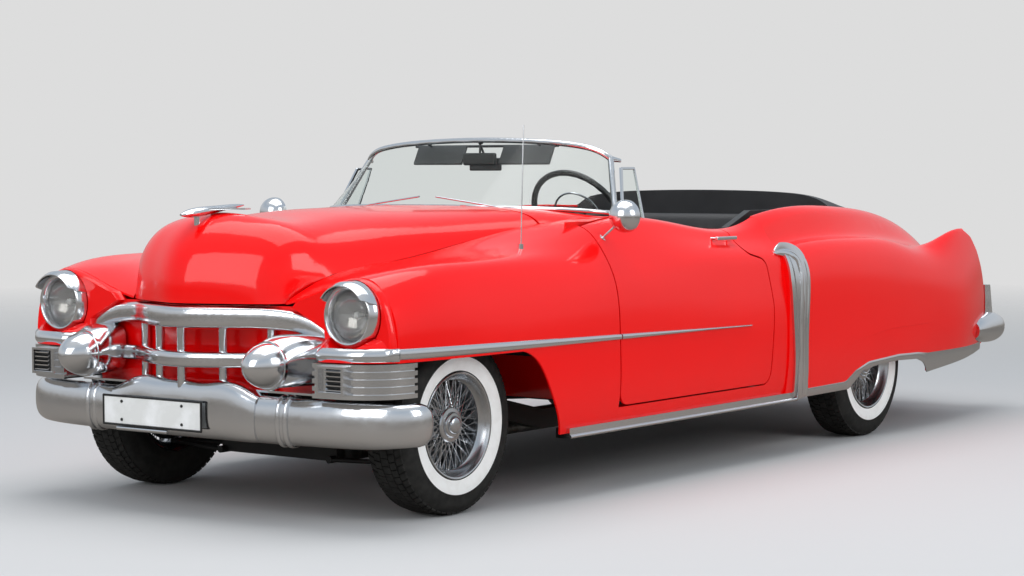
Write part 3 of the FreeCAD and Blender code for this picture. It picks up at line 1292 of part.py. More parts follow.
def make_grille():
    deep = mm.upper_bar_deep / 2
    tall = mm.upper_bar_tall / 2
    path = bar_path(mm.upper_bar_z, len(BOW_SHARES), mm.upper_bar_tall * 1.1)
    full = symmetric([1, 1, 1, 1, 1, 0.94, 0.76, 0.56], lambda share: share)
    upper = swept_sections(path, [(deep * share, tall * share) for share in full], 3.4)
    path = bar_path(mm.middle_bar_z, 6)
    middle = swept_sections(path, [(mm.middle_bar_tall * 0.5, mm.middle_bar_tall / 2)] * len(path), 3.4)
    posts = []
    for index in range(-2, 3):
        x = index * mm.post_step
        y = -mm.grille_front + bow(x) + mm.post_radius * 1.9
        foot = mm.bumper_z if abs(index) < 2 else 0.425 * mm.cowl_height
        posts.append(rod(Vector(x, y, foot), Vector(x, y, mm.upper_bar_z), mm.post_radius))
    shelves = [block(low * HALF_WIDTH, high * HALF_WIDTH, -2.54 * HALF_WIDTH, -2.443 * HALF_WIDTH,
                     0.42 * mm.cowl_height, 0.42 * mm.cowl_height + mm.skin)
               for low, high in ((-0.59, -0.27), (0.27, 0.59))]
    stay_x = 0.28 * HALF_WIDTH
    stays = [block(x - mm.post_radius, x + mm.post_radius, -mm.grille_front + bow(stay_x),
                   -2.442 * HALF_WIDTH, mm.middle_bar_z - mm.post_radius, mm.middle_bar_z + mm.post_radius)
             for x in (-stay_x, stay_x)]
    bullet = make_bullet(1)
    whole = upper.fuse([middle, bullet, mirrored(bullet)] + posts + stays + shelves).cut(front_bumper)
    return largest(whole.cut(made("front_fender_left")).cut(made("front_fender_right")))


grille = make_grille()
node("nose_panel", clear_of(make_nose(), grille))


# Corner grilles: a ribbed block that wraps from beside the bullet to the wheel opening
CORNER_SHARES = [(0.640, 2.595), (0.740, 2.585), (0.840, 2.555), (0.900, 2.500), (0.930, 2.430),
                 (0.9345, 2.365)]


def corner_plan(inset):
    outer = [Vector(x * HALF_WIDTH, -y * HALF_WIDTH, 0) for x, y in CORNER_SHARES]
    moved = []
    last = len(outer) - 1
    for index, point in enumerate(outer):
        way = (outer[min(index + 1, last)] - outer[max(index - 1, 0)]).normalize()
        moved.append(point + Vector(-way.y, way.x, 0) * inset)
    back = -2.365 * HALF_WIDTH
    inner_rear = Vector(0.88 * HALF_WIDTH, back, 0)
    inner_bend = Vector(0.84 * HALF_WIDTH, -2.46 * HALF_WIDTH, 0)
    inner_front = Vector(0.64 * HALF_WIDTH, -2.49 * HALF_WIDTH, 0)
    moved[0].x = inner_front.x
    moved[-1].y = back
    edges = [spline(moved), line(moved[-1], inner_rear), line(inner_rear, inner_bend),
             line(inner_bend, inner_front), line(inner_front, moved[0])]
    return Part.Face(Part.Wire(edges))


def make_corner_grille():
    low = mm.corner_low
    high = mm.corner_top - mm.shut_gap * 3.6
    core = corner_plan(mm.rib_tall * 0.8).extrude(UP * (high - low))
    core.translate(UP * low)
    pieces = [core]
    rib = corner_plan(0).extrude(UP * mm.rib_tall)
    count = int(mm.rib_count)
    for index in range(count):
        piece = rib.copy()
        piece.translate(UP * (low + index * (high - low - mm.rib_tall) / (count - 1)))
        pieces.append(piece)
    # The lamp frame in front, proud of the ribs
    frame_low = low + mm.rib_tall
    lamp = block(0.675 * HALF_WIDTH, 0.80 * HALF_WIDTH, -2.615 * HALF_WIDTH, -2.55 * HALF_WIDTH, frame_low,
                 high - mm.rib_tall * 0.4)
    hollow = block(0.685 * HALF_WIDTH, 0.79 * HALF_WIDTH, -2.70 * HALF_WIDTH, -2.60 * HALF_WIDTH,
                   frame_low + mm.rib_tall * 0.5, high - mm.rib_tall * 0.9)
    return solids_of(fused(pieces + [lamp]).cut(hollow).cut(front_bumper))


node("grille", [grille] + both(make_corner_grille()))


# Lamps

def make_bezel():
    """A headlamp rim with its half visor, turned about the lamp's axis."""
    front = -mm.lamp_y - mm.bezel_depth * 0.35
    rear = SIDE_START - mm.fit_gap
    r = mm.bezel_radius
    hole = mm.lamp_radius
    points = [Vector(hole, front + mm.bezel_depth * 0.55, 0),
              Vector(hole * 1.04, front + mm.bezel_depth * 0.12, 0),
              Vector(hole * 1.12, front, 0), Vector(r * 0.93, front + mm.bezel_depth * 0.10, 0),
              Vector(r * 1.01, front + mm.bezel_depth * 0.4, 0), Vector(r * 1.06, rear, 0)]
    last = Vector(hole, rear, 0)
    face = Part.Face(Part.Wire([spline(points), line(points[-1], last), line(last, points[0])]))
    rim = face.revolve(ORIGIN, BACK, 360)
    visor_face = Part.Face(Part.makePolygon([
        Vector(r * 0.97, rear - mm.fit_gap, 0), Vector(r * 1.06, rear - mm.fit_gap, 0),
        Vector(r * 1.03, front - mm.visor_reach * 0.4, 0),
        Vector(r * 0.93, front - mm.visor_reach, 0), Vector(r * 0.90, front - mm.visor_reach * 0.95, 0),
        Vector(r * 0.96, front - mm.visor_reach * 0.3, 0), Vector(r * 0.95, front + mm.bezel_depth * 0.5, 0),
        Vector(r * 0.97, rear - mm.fit_gap, 0)]))
    visor = visor_face.revolve(ORIGIN, BACK, 360)
    slope = prism("x", [(rear + mm.skin, 0.25 * r), (rear + mm.skin, r * 2),
                        (front - mm.visor_reach * 2, r * 2),
                        (front - mm.visor_reach * 2, r * 0.62), (front, r * 0.42)], -r * 2, r * 2)
    whole = fused([rim, solids_of(visor.common(slope))])
    whole.translate(Vector(mm.lamp_x, 0, mm.lamp_z))
    return whole


def make_lens():
    front = -mm.lamp_y - mm.bezel_depth * 0.10
    rear = -mm.lamp_y + mm.bezel_depth * 0.75
    hole = mm.lamp_radius - mm.fit_gap
    points = [Vector(0, front, 0), Vector(hole * 0.5, front + mm.skin * 0.7, 0),
              Vector(hole, front + mm.skin * 3, 0)]
    face = Part.Face(Part.Wire([spline(points), line(points[-1], Vector(hole, rear, 0)),
                                line(Vector(hole, rear, 0), Vector(0, rear, 0)),
                                line(Vector(0, rear, 0), points[0])]))
    lens = face.revolve(ORIGIN, BACK, 360)
    lens.translate(Vector(mm.lamp_x, 0, mm.lamp_z))
    return lens


node("headlamp_lenses", both(make_lens()))


TAIL_HALF = 0.030 * HALF_WIDTH


def tail_slab(shift, half, low, high):
    """A slab behind the tail's rounded edge, between two heights."""
    near = offset_places(TAIL_PROFILE, mm.fit_gap)
    far = offset_places(TAIL_PROFILE, shift)
    x = 0.832 * HALF_WIDTH
    slab = prism("x", near + far[::-1], x - half, x + half)
    return slab.common(block(0, FAR, 0, FAR * 3, low * mm.cowl_height, high * mm.cowl_height))


TAIL_LENS = tail_slab(mm.skin * 3.5, TAIL_HALF - mm.skin, 0.700, 0.815)
tail_bezel = tail_slab(mm.skin * 2.5, TAIL_HALF, 0.676, 0.838).cut(
    tail_slab(mm.skin * 5, TAIL_HALF - mm.skin + mm.fit_gap, 0.698, 0.817))
node("lamp_bezels", both(make_bezel()) + both(tail_bezel))
node("tail_lamps", both(TAIL_LENS))


# Rear bumper with its pods
REAR_BAR_SHARES = [(0.0, 0.957), (0.30, 0.953), (0.55, 0.940), (0.72, 0.925), (0.83, 0.905)]


# A pod's sections: shares of its radius forward from the tip and outwards, and its fullness.
POD_SHARES = [(0.03, 0.0, 0.10), (0.20, 0.0, 0.46), (0.60, 0.02, 0.76), (1.4, 0.08, 1.0), (2.6, 0.26, 1.03),
              (4.6, 0.66, 0.86), (5.7, 0.84, 0.60)]


def make_rear_bumper():
    half = [Vector(x * HALF_WIDTH, y * HALF_LENGTH, mm.pod_z) for x, y in REAR_BAR_SHARES]
    path = symmetric(half, lambda point: Vector(-point.x, point.y, point.z))
    deep = mm.bumper_deep * 0.40
    tall = mm.bumper_tall * 0.46
    pieces = [swept_sections(path, [(deep, tall)] * len(path))]
    tip = HALF_LENGTH
    for side in (-1, 1):
        x = side * mm.pod_x
        r = mm.pod_radius
        wires = [superellipse(Vector(x + side * shift * r, tip - r * back, mm.pod_z), LEFT, UP, r * grow,
                              r * grow * 0.9, 2.2)
                 for back, shift, grow in POD_SHARES]
        pieces.append(Part.makeLoft(wires, True, False))
        guard = superellipse(Vector(x, tip - r * 1.9, mm.pod_z), LEFT, BACK, r * 0.55, r * 0.5, 2.4)
        top = superellipse(Vector(x, tip - r * 2.1, mm.pod_z + mm.bumper_tall * 1.3), LEFT, BACK,
                           r * 0.42, r * 0.34, 2.4)
        pieces.append(Part.makeLoft([guard, top], True, True))
        stay_x = side * 0.52 * HALF_WIDTH
        pieces.append(block(stay_x - mm.spindle_radius, stay_x + mm.spindle_radius,
                            REAR_AXLE + 0.38 * mm.wheelbase + mm.fit_gap, 0.94 * HALF_LENGTH,
                            0.34 * mm.cowl_height, 0.375 * mm.cowl_height))
    body = fused(pieces)
    for shape in NODES:
        if shape.Label in ("quarter_panel_left", "quarter_panel_right", "tail_panel"):
            body = body.cut(shape.Shape)
    return largest(body)


node("rear_bumper", make_rear_bumper())


# Floor, wheelhouses and what hangs below

def make_floor():
    low = mm.floor_height
    thick = mm.floor_thick
    wide = 0.895 * HALF_WIDTH
    narrow = 0.64 * HALF_WIDTH
    front = -mm.firewall_y + mm.skin
    split = REAR_AXLE - 0.13 * mm.wheelbase
    step = split - 0.09 * mm.wheelbase
    rear = mm.bulkhead_y
    seat = low + 0.125 * mm.cowl_height
    toe = prism("x", [(front, low + 0.17 * mm.cowl_height),
                      (front, low + 0.17 * mm.cowl_height + thick * 1.4),
                      (front + 0.05 * mm.wheelbase, low + thick), (front + 0.05 * mm.wheelbase, low)],
                -0.74 * HALF_WIDTH, 0.74 * HALF_WIDTH)
    pieces = [toe, block(-wide, wide, front + 0.05 * mm.wheelbase, step, low, low + thick),
              block(-0.74 * HALF_WIDTH, 0.74 * HALF_WIDTH, front, front + 0.06 * mm.wheelbase, low,
                    low + thick),
              block(-narrow, narrow, step - thick, step, low, seat),
              block(-narrow, narrow, step - thick, rear + thick, seat - thick, seat)]
    tunnel_start = Vector(0, front, low)
    tunnel = Part.makeCylinder(0.075 * HALF_WIDTH, step - front, tunnel_start, BACK)
    bore = Part.makeCylinder(0.075 * HALF_WIDTH - thick, step - front, tunnel_start, BACK)
    above = block(-HALF_WIDTH, HALF_WIDTH, front, step, low, mm.cowl_height)
    slot = block(thick - 0.075 * HALF_WIDTH, 0.075 * HALF_WIDTH - thick, front, step - thick,
                 low - thick, low + thick)
    floor = fused(pieces).cut(bore.common(above)).cut(slot)
    risers = [block(x - mm.hub_radius, x + mm.hub_radius, -0.46 * HALF_WIDTH, -0.14 * HALF_WIDTH, low,
                    SEAT_LOW) for x in (-0.5 * HALF_WIDTH, 0.5 * HALF_WIDTH)]
    whole = fused([floor, tunnel.cut(bore).common(above)] + risers)
    return solids_of(whole.cut(made("body_pillars")))


SEAT_LOW = mm.floor_height + 0.07 * mm.cowl_height
node("floor_pan", make_floor())


def make_bulkhead():
    """The wall behind the rear seat and the trunk floor."""
    low = mm.floor_height + 0.125 * mm.cowl_height
    y = mm.bulkhead_y
    thick = mm.floor_thick
    top = 0.945 * mm.cowl_height
    wall = block(-0.64 * HALF_WIDTH, 0.64 * HALF_WIDTH, y + thick * 1.5, y + thick * 3, low - thick, top)
    trunk_low = 0.47 * mm.cowl_height
    trunk = block(-0.50 * HALF_WIDTH, 0.50 * HALF_WIDTH, y + thick * 1.5, 2.28 * HALF_WIDTH, trunk_low,
                  trunk_low + thick)
    return fused([wall, trunk]).cut(made("chassis_frame"))


node("rear_bulkhead", solids_of(make_bulkhead()))


def grown_block_room():
    """The room of the corner blocks beside the grille."""
    return block(0.86 * HALF_WIDTH, FAR, SIDE_START, -2.365 * HALF_WIDTH + mm.shut_gap, 0,
                 mm.corner_top + mm.shut_gap)


def wheelhouse(y, inner_x, outer_x, top, reach, low):
    """A liner over one wheel: an arched wall and the wall inboard of the wheel."""
    thick = mm.floor_thick
    corner = min(reach * 0.55, (top - low) * 0.9)

    def arch(inset):
        return prism("x", [(y - reach + inset, low, 0), (y - reach + inset, top - inset, corner - inset),
                           (y + reach - inset, top - inset, corner - inset), (y + reach - inset, low, 0)],
                     inner_x + (thick if inset else 0), outer_x + (thick if inset else 0))

    return solids_of(arch(0).cut(arch(thick)))


front_house = wheelhouse(FRONT_AXLE, 0.425 * HALF_WIDTH, FAR, 0.645 * mm.cowl_height,
                         0.129 * mm.wheelbase, 0.50 * mm.cowl_height)
behind_skin = side_solid(SIDE_SHARES, SIDE_START, SIDE_END, mm.skin + mm.fit_gap)
front_house = largest(front_house.common(behind_skin).cut(grown_block_room()))
rear_house = wheelhouse(REAR_AXLE, 0.655 * HALF_WIDTH, FAR, 0.655 * mm.cowl_height,
                        0.119 * mm.wheelbase, 0.40 * mm.cowl_height)
behind_skin = side_solid(QUARTER_SHARES, SIDE_END, TAIL_END, mm.skin + mm.fit_gap)
rear_house = largest(rear_house.common(behind_skin))
node("wheelhouses", both(front_house) + both(rear_house))

tank_low = 0.235 * mm.cowl_height
node("fuel_tank", block(-0.36 * HALF_WIDTH, 0.36 * HALF_WIDTH, REAR_AXLE + 0.175 * mm.wheelbase,
                        REAR_AXLE + 0.345 * mm.wheelbase, tank_low, TANK_TOP, mm.cut_margin))


def make_exhaust():
    z = 0.165 * mm.cowl_height
    x = 0.25 * HALF_WIDTH
    r = mm.spindle_radius * 1.4
    y0 = FRONT_AXLE + 0.25 * mm.wheelbase
    y1 = REAR_AXLE - 0.20 * mm.wheelbase
    y2 = 0.93 * HALF_LENGTH
    pipe_one = rod(Vector(x, y0, z), Vector(x, y2, z), r)
    muffler = rod(Vector(x, y1 - 0.18 * mm.wheelbase, z), Vector(x, y1, z), r * 2.15)
    hangers = [block(x - mm.skin, x + mm.skin, y, y + mm.skin, z, top)
               for y, top in ((y1 + 0.02 * mm.wheelbase, mm.floor_height),)]
    return fused([pipe_one, muffler] + hangers)


node("exhaust", make_exhaust())


# Cabin

def cushion(x0, x1, y0, y1, z0, z1, radius):
    box = Part.makeBox(x1 - x0, y1 - y0, z1 - z0, Vector(x0, y0, z0))
    return box.makeFillet(radius, box.Edges)


def seat(front, depth, low, high, back_top, half, lean, round_over):
    """A bench seat: its cushion, and its back leaning rearwards just clear of it."""
    base = cushion(-half, half, front, front + depth, low, high, round_over)
    back = cushion(-half, half, 0, depth * 0.30, 0, back_top - high, round_over)
    back.Placement = FreeCAD.Placement(Vector(0, front + depth * 0.86, high - round_over * 0.9),
                                       Rotation(LEFT, -lean))
    back = back.cut(base)
    return [base, solids_of(back)]


SEAT_HALF = 0.70 * HALF_WIDTH
node("front_seat", seat(-0.56 * HALF_WIDTH, 0.52 * HALF_WIDTH, SEAT_LOW + mm.fit_gap,
                        0.52 * mm.cowl_height, 0.915 * mm.cowl_height, SEAT_HALF, 10, mm.cut_margin * 0.6))
node("rear_seat", seat(0.44 * HALF_WIDTH, 0.43 * HALF_WIDTH,
                       mm.floor_height + 0.125 * mm.cowl_height + mm.fit_gap,
                       0.545 * mm.cowl_height, 0.975 * mm.cowl_height, 0.60 * HALF_WIDTH, 6,
                       mm.cut_margin * 0.6))


def make_side_trim():
    """The padded panel beside the rear seat, up to the belt, with its rim round the cabin."""
    x1 = mm.door_inner_top - mm.shut_gap * 0.5
    pairs = [(0.13 * HALF_WIDTH, mm.floor_height + mm.floor_thick),
             (0.13 * HALF_WIDTH, 0.90 * mm.cowl_height),
             (0.33 * HALF_WIDTH, 0.965 * mm.cowl_height), (0.98 * HALF_WIDTH, 0.965 * mm.cowl_height),
             (0.98 * HALF_WIDTH, 0.66 * mm.cowl_height), (0.74 * HALF_WIDTH, 0.66 * mm.cowl_height),
             (0.74 * HALF_WIDTH, mm.floor_height + mm.floor_thick)]
    return prism("x", pairs, 0.672 * HALF_WIDTH, 0.705 * HALF_WIDTH, 0)


node("rear_side_trim", both(make_side_trim()))


def make_dashboard():
    """The instrument panel, its top crowned like the cowl."""
    low = 0.72 * mm.cowl_height
    high = 0.925 * mm.cowl_height
    front = -mm.firewall_y + mm.skin * 3.2
    rear = -0.83 * HALF_WIDTH
    pairs = [(front, high), (rear, high), (rear, high - 0.06 * mm.cowl_height, mm.skin * 3.75),
             (rear - 0.05 * HALF_WIDTH, low, mm.skin * 1.5), (rear - 0.09 * HALF_WIDTH, low, mm.skin),
             (rear - 0.09 * HALF_WIDTH, high - 0.1 * mm.cowl_height), (front, high - 0.05 * mm.cowl_height)]
    side = mm.door_inner_top - mm.shut_gap * 3 - mm.skin
    body = prism("x", pairs, -side, side)
    wires = []
    for y, lift in ((front, 0.975), (rear - 0.05 * HALF_WIDTH, 0.968), (rear - 0.01 * HALF_WIDTH, 0.950)):
        arch = arch_section(Vector(0, y, 0), UP, side, lift * mm.cowl_height, high, 0)
        wires.append(Part.Wire([spline(arch), line(arch[-1], arch[0])]))
    return fused([body, Part.makeLoft(wires, True, False)])


dashboard = solids_of(make_dashboard().cut(made("cowl")))
TILT = Vector(0, math.cos(math.radians(mm.column_tilt)), math.sin(math.radians(mm.column_tilt)))
WHEEL_CENTRE = Vector(mm.steering_x, -mm.steering_y, mm.steering_z)


def make_column():
    top = WHEEL_CENTRE - TILT * (mm.column_radius * 1.9 + mm.fit_gap)
    bottom = WHEEL_CENTRE - TILT * mm.column_length
    tube = rod(bottom, top, mm.column_radius)
    return tube


column = make_column()
node("dashboard", solids_of(dashboard.cut(rod(WHEEL_CENTRE - TILT * mm.column_length, WHEEL_CENTRE,
                                               mm.column_radius + mm.fit_gap))))
for shape in NODES:
    if shape.Label in ("cowl", "floor_pan"):
        column = solids_of(column.cut(shape.Shape))
node("steering_column", column)


def make_steering_wheel():
    rim = Part.makeTorus(mm.wheel_rim_radius, mm.wheel_grip, ORIGIN, UP)
    boss = Part.makeCylinder(mm.column_radius * 1.6, mm.column_radius * 2.2,
                             Vector(0, 0, -mm.column_radius * 1.9))
    horn = Part.makeTorus(mm.wheel_rim_radius * 0.52, mm.wheel_grip * 0.4,
                          Vector(0, 0, mm.wheel_grip * 0.2), UP)
    pieces = [rim, boss, horn]
    for turn in (0, 180):
        arm = rod(Vector(mm.column_radius, 0, 0), Vector(mm.wheel_rim_radius, 0, 0), mm.wheel_grip * 0.7)
        arm.rotate(ORIGIN, UP, turn)
        pieces.append(arm)
    wheel = fused(pieces)
    wheel.rotate(ORIGIN, LEFT, -(90 - mm.column_tilt))
    wheel.translate(WHEEL_CENTRE)
    return wheel


node("steering_wheel", make_steering_wheel())


def make_visors():
    """Two sun visors under the header and the mirror on its stalk, joined by one rod."""
    y = -mm.screen_top_y + mm.frame_radius * 2.2
    z = mm.screen_top_z - mm.frame_radius * 2.4
    half = 0.56 * mm.screen_top_half
    rail = rod(Vector(-half * 1.05, y + 0.03 * HALF_WIDTH, z), Vector(half * 1.05, y + 0.03 * HALF_WIDTH, z),
               mm.frame_radius * 0.45)
    pieces = [rail]
    for side in (-1, 1):
        bracket = Vector(side * 0.45 * mm.screen_top_half, y - mm.frame_radius * 1.4,
                         z + mm.frame_radius * 1.4)
        pieces.append(rod(bracket, Vector(bracket.x, y + 0.03 * HALF_WIDTH, z), mm.frame_radius * 0.4))
        panel = cushion(0.10 * HALF_WIDTH, half, 0, mm.frame_radius, -0.09 * HALF_WIDTH, 0,
                        mm.frame_radius * 0.35)
        panel.rotate(ORIGIN, LEFT, -28)
        panel.translate(Vector(0, y + 0.03 * HALF_WIDTH - mm.frame_radius * 0.4, z + mm.frame_radius * 0.3))
        pieces.append(panel if side > 0 else mirrored(panel))
    stem = rod(Vector(0, y - mm.frame_radius * 1.4, z + mm.frame_radius * 1.6),
               Vector(0, y + 0.03 * HALF_WIDTH, z - 0.055 * HALF_WIDTH),
               mm.frame_radius * 0.4)
    mirror = cushion(-0.085 * HALF_WIDTH, 0.085 * HALF_WIDTH, 0, mm.frame_radius * 1.2,
                     -0.055 * HALF_WIDTH, 0,
                     mm.frame_radius * 0.5)
    mirror.translate(Vector(0, y + 0.02 * HALF_WIDTH, z - 0.05 * HALF_WIDTH))
    return fused(pieces + [stem, mirror])


visors = make_visors()
for shape in NODES:
    if shape.Label == "windshield_frame":
        visors = solids_of(visors.cut(shape.Shape))
node("sun_visors", visors)


# Vent windows on the doors

def vent_pairs(inset):
    base = mm.cowl_height
    return [(-0.842 * HALF_WIDTH + inset * 1.3, 0.940 * base + inset),
            (-0.752 * HALF_WIDTH + inset * 1.2, 1.146 * base - inset),
            (-0.646 * HALF_WIDTH - inset, 1.146 * base - inset),
            (-0.680 * HALF_WIDTH - inset, 0.936 * base + inset)]


def make_vent():
    bar = mm.frame_radius * 0.7
    x = mm.door_inner_top + mm.skin
    frame_piece = prism("x", vent_pairs(0), x, x + bar,
                        bar * 0.5).cut(prism("x", vent_pairs(bar), x - bar, x + bar * 2))
    sill = prism("x", [(-0.86 * HALF_WIDTH, 0.895 * mm.cowl_height),
                       (-0.86 * HALF_WIDTH, 0.945 * mm.cowl_height),
                       (-0.66 * HALF_WIDTH, 0.940 * mm.cowl_height),
                       (-0.66 * HALF_WIDTH, 0.895 * mm.cowl_height)],
                 x, x + bar)
    glass = prism("x", vent_pairs(bar + mm.fit_gap), x + bar * 0.3, x + bar * 0.7)
    whole = fused([frame_piece, sill])
    pivot = Vector(x, 0, 0.94 * mm.cowl_height)
    shapes = []
    for shape in (whole, glass):
        shape.rotate(pivot, BACK, -18)
        shapes.append(shape)
    return shapes


vent_frame, vent_glass = make_vent()
vent_frame = solids_of(vent_frame.cut(side_body.common(wall_region(0))))
vent_glass = solids_of(vent_glass.cut(side_body.common(wall_region(0))))
pair_nodes("vent_glass", vent_glass)


# Bright trim along the body

def trim_strip(skin, pairs, corner=0.0):
    return solids_of(skin.common(prism("x", pairs, 0.5 * HALF_WIDTH, FAR, corner)))


def make_side_strip():
    """The side strip from the lamp to its point on the door, as fender and door parts."""
    z0 = 0.559 * mm.cowl_height
    z1 = 0.537 * mm.cowl_height
    half = mm.rib_tall * 0.75
    start = SIDE_START
    end = -0.124 * HALF_WIDTH
    whole = [(start, z0 - half), (start, z0 + half), (end, z1 + half * 0.2), (end, z1 - half * 0.2)]
    strip = trim_strip(side_trim, whole)
    fender = solids_of(strip.common(block(0, FAR, start, FENDER_REAR, 0, TOP)))
    door = solids_of(strip.common(block(0, FAR, -mm.door_front, end, 0, TOP)))
    return fender, door


fender_strip, door_strip = make_side_strip()


def make_sill_strip():
    low = 0.216 * mm.cowl_height
    high = 0.252 * mm.cowl_height
    front = FRONT_AXLE + mm.arch_rear + mm.skin * 3
    body = block(0.90 * HALF_WIDTH, 0.965 * HALF_WIDTH, front, SIDE_END + 0.10 * HALF_WIDTH, low, high)
    bead = rod(Vector(0.965 * HALF_WIDTH, front, low + mm.skin),
               Vector(0.965 * HALF_WIDTH, SIDE_END + 0.10 * HALF_WIDTH, low + mm.skin),
               mm.skin)
    piece = fused([body, bead])
    for shape in NODES:
        if shape.Label in ("body_pillars", "front_fender_left", "quarter_panel_left"):
            piece = piece.cut(shape.Shape)
    return solids_of(piece)


def make_upright_trim():
    """Ribbed moulding down the rear fender's leading edge."""
    low = 0.235 * mm.cowl_height
    high = 0.82 * mm.cowl_height
    y0 = SIDE_END - 0.015 * HALF_WIDTH
    wide = 0.034 * HALF_WIDTH
    pieces = []
    for index in range(3):
        start = y0 + index * wide
        lean = 0.075 * HALF_WIDTH
        table, begin, finish = (QUARTER_SHARES, SIDE_END, TAIL_END)
        raised = side_run(table, begin, finish, mm.skin * (1.7 if index == 1 else 1.3), mm.fit_gap)
        pieces.append(raised.common(prism("x", [
            (start + lean, low), (start, high), (start + wide, high), (start + wide + lean, low)],
            0.8 * HALF_WIDTH, FAR)))
    return fused(pieces)


sill_strip = make_sill_strip()
upright_trim = make_upright_trim()
node("body_trim", both(fender_strip) + both(sill_strip) + both(solids_of(upright_trim.cut(sill_strip))))


# What the doors carry

def make_door_fittings():
    """Side strip, pull handle and round mirror of one door."""
    handle_y = -0.27 * HALF_WIDTH
    handle_z = 0.868 * mm.cowl_height
    grip = cushion(0.885 * HALF_WIDTH, 0.900 * HALF_WIDTH, handle_y, handle_y + 0.16 * HALF_WIDTH,
                   handle_z - mm.skin, handle_z + mm.skin, mm.skin * 0.45)
    feet = [rod(Vector(0.84 * HALF_WIDTH, y, handle_z), Vector(0.892 * HALF_WIDTH, y, handle_z),
                mm.skin * 0.7)
            for y in (handle_y + mm.skin * 1.5, handle_y + 0.14 * HALF_WIDTH)]
    base = Vector(0.845 * HALF_WIDTH, -1.075 * HALF_WIDTH, 0.885 * mm.cowl_height)
    head = Vector(0.945 * HALF_WIDTH, -1.055 * HALF_WIDTH, 0.965 * mm.cowl_height)
    arm = rod(base, head, mm.skin * 0.6)
    dome = Part.makeSphere(0.066 * HALF_WIDTH,
                           head).common(block(0, FAR, head.y - HALF_WIDTH, head.y, 0, TOP * 2))
    disc = Part.makeCylinder(0.066 * HALF_WIDTH, mm.skin, head, BACK)
    foot = Part.makeCylinder(mm.skin * 2, mm.skin, base, head - base)
    handle = fused([grip] + feet)
    mirror = fused([arm, dome, disc, foot])
    door_shape = [shape.Shape for shape in NODES if shape.Label == "door_left"][0]
    return [solids_of(handle.cut(door_shape)), solids_of(mirror.cut(door_shape)), door_strip, vent_frame]


door_fittings = make_door_fittings()
node("door_fittings_left", door_fittings)
node("door_fittings_right", [mirrored(piece) for piece in door_fittings])


# Small pieces on the hood and cowl

def make_ornament():
    """A plain winged ornament on its foot."""
    y = -2.50 * HALF_WIDTH
    z = 0.958 * mm.cowl_height
    wires = []
    for along, rise, half_x, half_z in ((-0.095, 0.030, 0.006, 0.004), (-0.06, 0.034, 0.020, 0.014),
                                       (0.0, 0.040, 0.026, 0.018), (0.12, 0.052, 0.018, 0.012),
                                       (0.24, 0.062, 0.004, 0.003)):
        centre = Vector(0, y + along * HALF_WIDTH, z + rise * HALF_WIDTH)
        wires.append(superellipse(centre, LEFT, UP, half_x * HALF_WIDTH, half_z * HALF_WIDTH, 2.0, 12))
    body = Part.makeLoft(wires, True, False)
    wing = prism("z", [(0.0, y - 0.02 * HALF_WIDTH), (0.085 * HALF_WIDTH, y + 0.16 * HALF_WIDTH),
                       (0.075 * HALF_WIDTH, y + 0.20 * HALF_WIDTH),
                       (-0.075 * HALF_WIDTH, y + 0.20 * HALF_WIDTH),
                       (-0.085 * HALF_WIDTH, y + 0.16 * HALF_WIDTH)], z + 0.046 * HALF_WIDTH,
                       z + 0.052 * HALF_WIDTH)
    foot = block(-mm.skin * 1.6, mm.skin * 1.6, y - 0.02 * HALF_WIDTH, y + 0.06 * HALF_WIDTH,
                 z - 0.06 * HALF_WIDTH,
                 z + 0.04 * HALF_WIDTH, mm.skin * 1.4)
    return largest(fused([body, wing, foot]).cut(made("hood")))


node("hood_ornament", make_ornament())


def make_wipers():
    done = []
    for side in (-1, 1):
        pivot = Vector(side * 0.42 * HALF_WIDTH, -1.128 * HALF_WIDTH, 0.988 * mm.cowl_height)
        post = rod(pivot - UP * mm.skin * 4, pivot + UP * mm.skin, mm.skin)
        tip = Vector(side * 0.12 * HALF_WIDTH, -1.135 * HALF_WIDTH, 1.022 * mm.cowl_height)
        arm = rod(pivot, tip, mm.skin * 0.4)
        blade = rod(tip + (tip - pivot) * 0.25, tip - (tip - pivot) * 0.55, mm.skin * 0.5)
        piece = fused([post, arm, blade])
        for label in ("cowl", "windshield_frame", "windshield_glass"):
            piece = piece.cut(made(label))
        done.append(largest(piece))
    return done


def make_antenna():
    base = Vector(0.79 * HALF_WIDTH, -1.55 * HALF_WIDTH, 0.850 * mm.cowl_height)
    top = Vector(base.x, base.y + 0.02 * HALF_WIDTH, 1.28 * mm.cowl_height)
    mast = rod(base, top, mm.skin * 0.3)
    foot = rod(base, base + UP * mm.skin * 4, mm.skin * 1.4)
    whole = fused([mast, foot])
    return largest(whole.cut(made("front_fender_left")))


node("wipers_and_antenna", make_wipers() + [make_antenna()])


def export_nodes():
    """Check every object and write each sub-part under its own name."""
    DOC.recompute()
    for item in DOC.Objects:
        if "Invalid" in item.State or "Error" in item.State:
            raise RuntimeError("%s failed to recompute" % item.Label)
    os.makedirs("parts", exist_ok=True)
    for item in NODES:
        if item.Shape.isNull() or not item.Shape.isValid() or not item.Shape.Solids:
            raise RuntimeError("%s has no valid shape" % item.Label)
    for item in NODES:
        item.Shape.exportStep("parts/%s.step" % item.Label)


export_nodes()
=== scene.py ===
"""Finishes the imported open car: paint, chrome, glass, tyres, wire wheels, seats and cabin."""
import json
import math

import bmesh
import bpy
from bpy.props import FloatProperty, FloatVectorProperty, IntProperty, PointerProperty
from mathutils import Matrix, Vector
from mathutils.bvhtree import BVHTree


